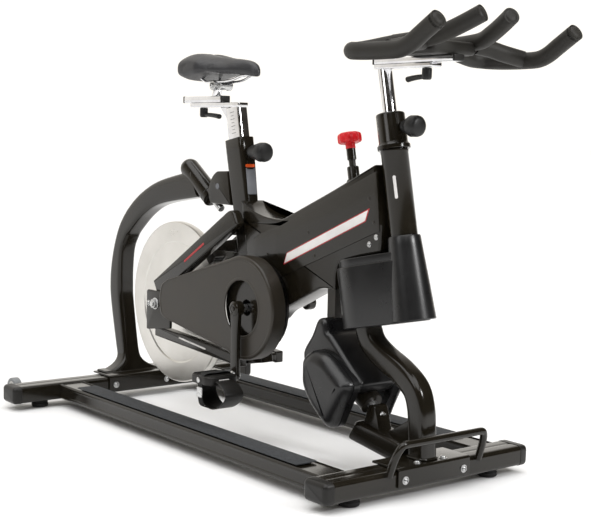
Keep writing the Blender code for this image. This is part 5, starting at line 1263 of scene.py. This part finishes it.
# %% [markdown]
# ## Saddle
# The saddle is foam on a plastic pan, under stretched vinyl. It is broad and full at the back,
# dips in the middle, and its nose droops. A relief channel runs along the centre. Each row is
# a section across the saddle: an oval whose upper half is crowned and whose lower half is
# squarer. The cover is then blown up a little by a cloth simulation, so that it looks stuffed.

# %% Saddle surface
SADDLE_REAR, SADDLE_NOSE = -0.370, -0.079


def saddle_half(t):
    """Half width: a wing that falls away with (1 - t^1.7)^1.6, plus a nose that stays 21 mm wide."""
    wings = 0.0775 * (1 - t ** 1.7) ** 1.6
    nose = 0.021 * np.sin(math.pi * np.minimum(1.0, np.maximum(t, 1e-6) ** 0.35)) ** 0.2
    return np.minimum(0.0775, wings + np.where(t < 0.995, nose, 0.0))


def saddle_grid(rows=64, columns=72):
    """Sections across the saddle; its ends close on an ellipse, and the channel is a long shallow bowl."""
    turn = np.linspace(0, math.pi, rows)
    t = (1 - np.cos(turn)) / 2
    close = np.clip(np.minimum(t / 0.10, (1 - t) / 0.055), 0, 1)
    round_end = np.sqrt(np.maximum(1 - (1 - close) ** 2, 0.0))
    half = saddle_half(np.clip(t, 0.02, 0.985)) * round_end
    top = np.interp(t, [0, 0.08, 0.20, 0.38, 0.58, 0.78, 0.92, 1.0],
                    [0.974, 0.994, 1.0005, 0.9900, 0.9790, 0.9790, 0.9745, 0.9560])
    top = np.convolve(np.pad(top, 4, "edge"), np.ones(9) / 9, "valid")
    edge = np.interp(t, [0, 0.15, 0.45, 0.75, 1.0], [0.9620, 0.9610, 0.9590, 0.9570, 0.9450])
    bottom = np.interp(t, [0, 0.16, 0.30, 0.45, 0.8, 1.0], [0.9420, 0.9270, 0.9360, 0.9465, 0.9400, 0.9330])
    rise = (top - edge) * round_end ** 0.7
    drop = (edge - bottom) * round_end ** 0.7
    a = np.linspace(0, 2 * math.pi, columns, endpoint=False)
    c, s = np.cos(a), np.sin(a)
    y = half[:, None] * (np.sign(c) * np.abs(c) ** 0.8)[None]
    up = rise[:, None] * np.maximum(s, 0)[None] ** 0.75
    down = drop[:, None] * np.maximum(-s, 0)[None] ** 0.45
    channel = 0.0055 * np.exp(-(y / 0.0075) ** 2) * np.exp(-((t - 0.47) / 0.24) ** 4)[:,
                                                                                      None] * (s > 0)[None]
    seat_bones = 0.0035 * np.exp(-((np.abs(y) - 0.040) / 0.020) ** 2) * np.exp(-((t - 0.20) / 0.15) ** 2)[:, None]
    z = edge[:, None] + up - down - channel + seat_bones * (s > 0.2)[None]
    x = (SADDLE_REAR + (SADDLE_NOSE - SADDLE_REAR) * t)[:, None] + 0 * y
    return np.stack([x + BB_X, y, z], axis=2)


saddle = piece("saddle_cover", saddle_grid(), VINYL, "saddle", "black_vinyl", ["saddle"], sharp=80.0)


PAN_TOP = 0.9480


def stuffed(obj, limit=0.006, voxel=0.0045, frames=20):
    """Cloth under a gentle pressure, held below the pan's top; no point moves past the limit."""
    bpy.context.view_layer.update()
    trial = obj.copy()
    trial.data = obj.data.copy()
    bpy.context.scene.collection.objects.link(trial)
    remesh = trial.modifiers.new("even", "REMESH")
    remesh.mode = "VOXEL"
    remesh.voxel_size = voxel
    graph = bpy.context.evaluated_depsgraph_get()
    trial_mesh = bpy.data.meshes.new_from_object(trial.evaluated_get(graph))
    trial.modifiers.clear()
    trial.data = trial_mesh
    count = len(trial_mesh.vertices)
    before = np.empty(count * 3)
    trial_mesh.vertices.foreach_get("co", before)
    before = before.reshape(-1, 3)
    held = trial.vertex_groups.new(name="held")
    held.add(np.nonzero(before[:, 2] < PAN_TOP)[0].tolist(), 1.0, "REPLACE")
    cloth = trial.modifiers.new("cover", "CLOTH")
    cloth.settings.use_pressure = True
    cloth.settings.uniform_pressure_force = 4.0
    cloth.settings.tension_stiffness = 25
    cloth.settings.compression_stiffness = 25
    cloth.settings.shear_stiffness = 15
    cloth.settings.bending_stiffness = 2.0
    cloth.settings.vertex_group_mass = "held"
    cloth.settings.effector_weights.gravity = 0.0
    cloth.point_cache.frame_start = 1
    cloth.point_cache.frame_end = frames
    for step in range(1, frames + 1):
        bpy.context.scene.frame_set(step)
    graph = bpy.context.evaluated_depsgraph_get()
    after_mesh = bpy.data.meshes.new_from_object(trial.evaluated_get(graph))
    after = np.empty(count * 3)
    after_mesh.vertices.foreach_get("co", after)
    move = after.reshape(-1, 3) - before
    length = np.linalg.norm(move, axis=1)
    move *= np.minimum(1.0, limit / np.maximum(length, 1e-9))[:, None]
    trial_mesh.vertices.foreach_set("co", (before + move).ravel())
    trial_mesh.shade_smooth()
    bpy.context.scene.frame_set(1)
    old = obj.data
    obj.data = trial_mesh
    obj.data.materials.clear()
    obj.data.materials.append(VINYL)
    bpy.data.objects.remove(trial)
    bpy.data.meshes.remove(old)
    soften = obj.modifiers.new("soften", "SUBSURF")
    soften.levels = 1
    soften.render_levels = 1
    print("saddle moved by at most", round(float(length.max()) * 1000, 1), "mm before the limit")


stuffed(saddle)

# %% [markdown]
# ## Cranks and pedals
# The crank arms are forged steel. Each has a round eye at both ends and narrows between them.
# A bolt in a shallow cap holds it on the spindle. The right crank points down and the left one
# up, so the sign of a side is also the sign of its crank.

# %% Cranks
CRANK = 0.170
PEDAL_Y = 0.1845
CRANK_CENTRE = at(0, BB_Z)


def dense(outline, most=0.008):
    """The outline with long edges split, so that a waist has points to bend."""
    rows = []
    for start, end in zip(outline, np.roll(outline, -1, axis=0)):
        count = max(1, int(np.linalg.norm(end - start) / most))
        rows.append(start + (end - start) * (np.arange(count) / count)[:, None])
    return np.vstack(rows)


for word, side in SIDES:
    line = dense(hull_outline((0.0, BB_Z), 0.0165, (0.0, BB_Z + side * CRANK), 0.0135, 24))
    share = np.clip((line[:, 1] - BB_Z) * side / CRANK, 0, 1)
    line[:, 0] *= 1 - 0.18 * np.sin(math.pi * share) ** 2
    side_slab("crank_forging_" + word, line, *across(side, 0.112, 0.126), 0.003, GLOSS_BLACK, "cranks",
              "black_paint",
              ["crank_arm_" + word])
    turned("crank_boss_" + word, [(0.0005, 0.104), (0.0160, 0.104), (0.0185, 0.1065), (0.0190, 0.120),
                                  (0.0182, 0.1265),
                                  (0.0150, 0.1290), (0.0105, 0.1300), (0.0100, 0.1288), (0.0060, 0.1286),
                                  (0.0055, 0.1305),
                                  (0.0005, 0.1310)],
           CRANK_CENTRE, (0, side, 0), GLOSS_BLACK, "cranks", "black_paint", ["crank_arm_" + word])
    turned("pedal_spindle_" + word, [(0.0005, 0.110), (0.0110, 0.110), (0.0118, 0.1115), (0.0118, 0.1280),
                                     (0.0100, 0.1295), (0.0085, 0.1300), (0.0085, 0.1362), (0.0070, 0.1370),
                                     (0.0070, 0.2315), (0.0062, 0.2320), (0.0005, 0.2320)],
           at(0, BB_Z + side * CRANK), (0, side, 0), ZINC, "cranks", "bright_steel", ["crank_arm_" + word],
           count=32)
turned("crank_spindle", [(0.0005, -0.1120), (0.0100, -0.1120), (0.0100, 0.1115), (0.0005, 0.1115)],
       CRANK_CENTRE,
       (0, 1, 0), ZINC, "cranks", "bright_steel", ["crank_arm_right"])
turned("chain_ring", [(0.0105, -0.0425), (0.0970, -0.0425), (0.0985, -0.0410), (0.0985, -0.0390), (0.0970,
                                                                                                   -0.0375),
                      (0.0105, -0.0375)],
       CRANK_CENTRE, (0, 1, 0), DARK_STEEL, "cranks", "black_paint", ["crank_arm_right"], count=104,
       ring=True)

# %% [markdown]
# A pedal is a resin body with ribs across both treads, on a steel spindle. A toe cage is a
# bent strip of resin. A strap threads through it and holds the shoe.

# %% Pedals, cages and straps
hoop_path = smooth([(0.0445, 0.0), (0.066, 0.006), (0.088, 0.024), (0.0865, 0.038), (0.074, 0.051), (0.055,
                                                                                                     0.063),
                    (0.036, 0.0695), (0.016, 0.0695), (0.0, 0.065), (-0.016, 0.054), (-0.026, 0.040),
                    (-0.030, 0.0150)],
                   6)
for word, side in SIDES:
    body_name = "pedal_" + word
    hub = at(0, BB_Z + side * CRANK, side * PEDAL_Y)
    plan = rounded([(0.044, -0.040), (0.044, 0.034), (0.030, 0.0455), (-0.030, 0.0455), (-0.044, 0.034),
                    (-0.044, -0.040), (-0.030, -0.0460), (0.030, -0.0460)], 0.008)
    body_grid = slab_grid(plan * [1, side], -0.0105, 0.0105, 0.003, 3)
    piece("pedal_resin_body_" + word, hub + body_grid, CAP_PLASTIC, body_name, "black_plastic", [body_name])
    for number, x in enumerate((-0.0365, -0.0215, 0.0215, 0.0365)):
        rib = slab_grid(rectangle(0.0055, 0.070, 0.0020, 3), -0.0120, 0.0120, 0.0012, 2)
        piece(f"pedal_rib_{word}_{number}", hub + rib + [x, 0, 0], CAP_PLASTIC, body_name, "black_plastic",
              [body_name])
    barrel = [(0.0076, -0.0472), (0.0125, -0.0472), (0.0130, -0.0460), (0.0130, 0.0440), (0.0118, 0.0458),
              (0.0076, 0.0460)]
    turned("pedal_barrel_" + word, barrel, hub, (0, side, 0), CAP_PLASTIC, body_name, "black_plastic",
           [body_name],
           count=32, ring=True)
    for number, x in enumerate((-0.0453, 0.0453)):
        mark = slab_grid(rectangle(0.0012, 0.030, 0.0004, 2), -0.0035, 0.0035, 0.0003, 2)
        piece(f"pedal_reflector_{word}_{number}", hub + mark + [x * 0.983, 0, 0], WHITE_FILM, body_name,
              "black_plastic")
    path = np.stack([hub[0] + hoop_path[:, 0], np.full(len(hoop_path), hub[1]),
                     hub[2] + side * hoop_path[:, 1]],
                    axis=1)
    strip = rectangle(0.0030, 0.054, 0.0012, 4)
    piece("toe_cage_strip_" + word, sweep_grid(path, strip), CAP_PLASTIC, body_name, "black_plastic",
          ["toe_cage_" + word])
    loop = smooth([(0.000, -0.0155), (0.032, -0.0152), (0.0430, -0.004), (0.0445, 0.020), (0.0430, 0.048),
                   (0.0340, 0.0665), (0.0, 0.0745), (-0.0340, 0.0665), (-0.0430, 0.048), (-0.0445, 0.020),
                   (-0.0430, -0.004), (-0.032, -0.0152)], 6, closed=True)
    strap_path = np.stack([np.full(len(loop), hub[0] + 0.006), hub[1] + loop[:, 0], hub[2] + side * loop[:,
                                                                                                1]], axis=1)
    closed_path = np.vstack([strap_path[-1:], strap_path, strap_path[:1]])
    webbing = sweep_grid(closed_path, rectangle(0.0018, 0.020, 0.0007, 3), (1, 0, 0))[1:-1]
    piece("toe_strap_" + word, webbing, FOOT_RUBBER, body_name, "black_plastic", wrap_rows=True)
    buckle = slab_grid(rectangle(0.026, 0.022, 0.004, 4), 0.0, 0.0050, 0.0015, 3)
    rows = hub + np.stack([buckle[..., 1] + 0.006, side * (0.0440 + buckle[..., 2] * 0.8),
                           side * (buckle[..., 0] + 0.030)],
                          axis=2)
    piece("strap_buckle_" + word, rows, ZINC, body_name, "black_plastic")

# %% [markdown]
# ## Resistance knob
# The knob is a lobed red moulding on a red skirt. It screws down a steel stem that slides in a
# black sleeve on the main beam. The lobes are a circle whose radius rises and falls eight times.

# %% Knob, stem and sleeve
knob_low = at(0.2985, 0.694)
stem_rows = [(0.0005, -0.055), (0.0074, -0.055), (0.0080, -0.0535), (0.0080, 0.088), (0.0072, 0.090),
             (0.0005, 0.090)]
turned("knob_stem", stem_rows, knob_low, STEER_AXIS, SATIN_BLACK, "brake_stem", "bright_steel",
       ["brake_stem"], 32)
sleeve = [(0.0090, -0.030), (0.0140, -0.030), (0.0140, 0.0190), (0.0134, 0.0205), (0.0134, 0.0215),
          (0.0120, 0.0225),
          (0.0090, 0.0225)]
turned("knob_sleeve_turned", sleeve, knob_low, STEER_AXIS, *FRAME_PAINT, (), 40, ring=True)
beam_boss = [(0.0142, -0.034), (0.0190, -0.034), (0.0185, -0.012), (0.0165, -0.008), (0.0142, -0.0075)]
turned("knob_boss", beam_boss, knob_low, STEER_AXIS, *FRAME_PAINT, (), 40, ring=True)
shank = [(0.0086, 0.038), (0.0100, 0.038), (0.0108, 0.0390), (0.0108, 0.0655), (0.0086, 0.0655)]
turned("knob_shank", shank, knob_low, STEER_AXIS, GLOSS_BLACK, "resistance_knob", "red_plastic",
       ["resistance_knob"], 40,
       ring=True)
skirt = [(0.0086, 0.0650), (0.0112, 0.0650), (0.0118, 0.0660), (0.0115, 0.0720), (0.0125, 0.0790), (0.0086,
                                                                                                    0.0790)]
turned("knob_skirt", skirt, knob_low, STEER_AXIS, RED_ABS, "resistance_knob", "red_plastic",
       ["resistance_knob"], 40,
       ring=True)


def lobed_grid(count=192, lobes=8):
    """A domed disc whose radius is 27 mm plus 1.6 mm of a cosine of eight turns, fading towards its middle."""
    turn = np.linspace(0, 2 * math.pi, count, endpoint=False)
    ripple = 0.0016 * np.cos(lobes * turn)
    rows = [(0.0105, 0.0780, 0.0), (0.0230, 0.0780, 0.5), (0.0255, 0.0795, 0.9), (0.0267, 0.0825, 1.0),
            (0.0270, 0.0900, 1.0), (0.0267, 0.0965, 1.0), (0.0255, 0.0998, 0.9), (0.0228, 0.1022, 0.5),
            (0.0170, 0.1030, 0.1), (0.0150, 0.1022, 0.0), (0.0060, 0.1028, 0.0), (0.0004, 0.1030, 0.0)]
    u, v, w = basis(STEER_AXIS)
    made = [knob_low + ((r + share * ripple)[:, None]) * (np.cos(turn)[:, None] * u + np.sin(turn)[:,
                                                                                          None] * v) + w * h
            for r, h, share in rows]
    return np.array(made)


piece("lobed_red_knob", lobed_grid(), RED_ABS, "resistance_knob", "red_plastic", ["resistance_knob"])
print("all pieces:", len(PIECES))

# %% [markdown]
# ## Studio
# A wide pale floor, one large soft light above and two beside. The surroundings are bright
# behind the bike and dark in front of it, so that chrome shows both and black paint stays deep.

# %% Floor, lights and camera
def floor_finish():
    """Matt white paint on board, with a faint cloud in its colour."""
    mat, tree, shader = new_finish("studio_floor_paint", "#f1f1f1", 0.75)
    vary(tree, shader, place_of(tree), 1.5, ("#f1f1f1", "#f3f3f3"), (0.7, 0.8))
    return mat


def light(name, kind, place, aim, energy, size):
    """One lamp that points at a place."""
    data = bpy.data.lights.new(name, kind)
    data.energy = energy
    if kind == "AREA":
        data.shape = "DISK"
        data.size = size
    lamp = bpy.data.objects.new(name, data)
    lamp.location = place
    lamp.rotation_euler = (Vector(aim) - Vector(place)).to_track_quat("-Z", "Y").to_euler()
    bpy.context.scene.collection.objects.link(lamp)
    return lamp


floor_mesh = bpy.data.meshes.new("studio_floor")
floor_mesh.from_pydata([(-150, -150, 0), (150, -150, 0), (150, 150, 0), (-150, 150, 0)], [], [(0, 1, 2, 3)])
floor = bpy.data.objects.new("studio_floor", floor_mesh)
floor_mesh.materials.append(floor_finish())
bpy.context.scene.collection.objects.link(floor)

world = bpy.data.worlds.new("studio")
world.use_nodes = True
sky = world.node_tree
heading = add(sky, "TexCoord").outputs["Generated"]
facing = add(sky, "VectorMath", {"operation": "DOT_PRODUCT"}, {0: heading})
facing.inputs[1].default_value = (-0.97, 0.24, 0.0)
spread = add(sky, "MapRange", {"interpolation_type": "SMOOTHSTEP", "From Min": 0.15, "From Max": 0.76,
                               "To Min": 0.045,
                               "To Max": 1.12}, {"Value": facing.outputs["Value"]})
sky.links.new(spread.outputs["Result"], sky.nodes["Background"].inputs["Strength"])
warmth = add(sky, "Mix", {"data_type": "RGBA"}, {"Factor": spread.outputs["Result"]})
warmth.inputs["A"].default_value = linear("#fff0dc")
warmth.inputs["B"].default_value = linear("#fffbf4")
sky.links.new(warmth.outputs["Result"], sky.nodes["Background"].inputs["Color"])
bpy.context.scene.world = world
sun = light("overhead_diffuser", "SUN", (0.6, -0.8, 4.0), (0, 0, 0.0), 3.1, 0)
sun.data.angle = math.radians(75)
light("key_softbox", "AREA", (3.4, 1.0, 2.2), (0.2, 0, 0.6), 60, 0.9)
light("fill_softbox", "AREA", (0.4, -3.6, 2.4), (0, 0, 0.4), 22, 1.6)

camera_data = bpy.data.cameras.new("camera")
camera_data.lens = 75.63
camera_data.sensor_width = 36
camera_data.shift_x = 0.0381
camera_data.shift_y = 0.0292
camera = bpy.data.objects.new("camera", camera_data)
turned_by = Matrix(((0.6076, -0.0999, 0.7880), (0.7941, 0.0527, -0.6056), (0.0190, 0.9937, 0.1113)))
camera.matrix_world = Matrix.Translation((2.5102, -1.9282, 0.7786)) @ turned_by.to_4x4()
bpy.context.scene.collection.objects.link(camera)
bpy.context.scene.camera = camera
bpy.context.scene.view_settings.view_transform = "Standard"

# %% [markdown]
# The chain, the pivot strut and the steerer tube keep their working solids. They only need a
# finish: oiled black steel for the chain, satin paint for the rest.

# %% Finish the nodes that are carried over from the frame
for node, obj in frame["nodes"].items():
    for place in obj.material_slots:
        place.material = DARK_STEEL if node == "drive_chain" else SATIN_BLACK
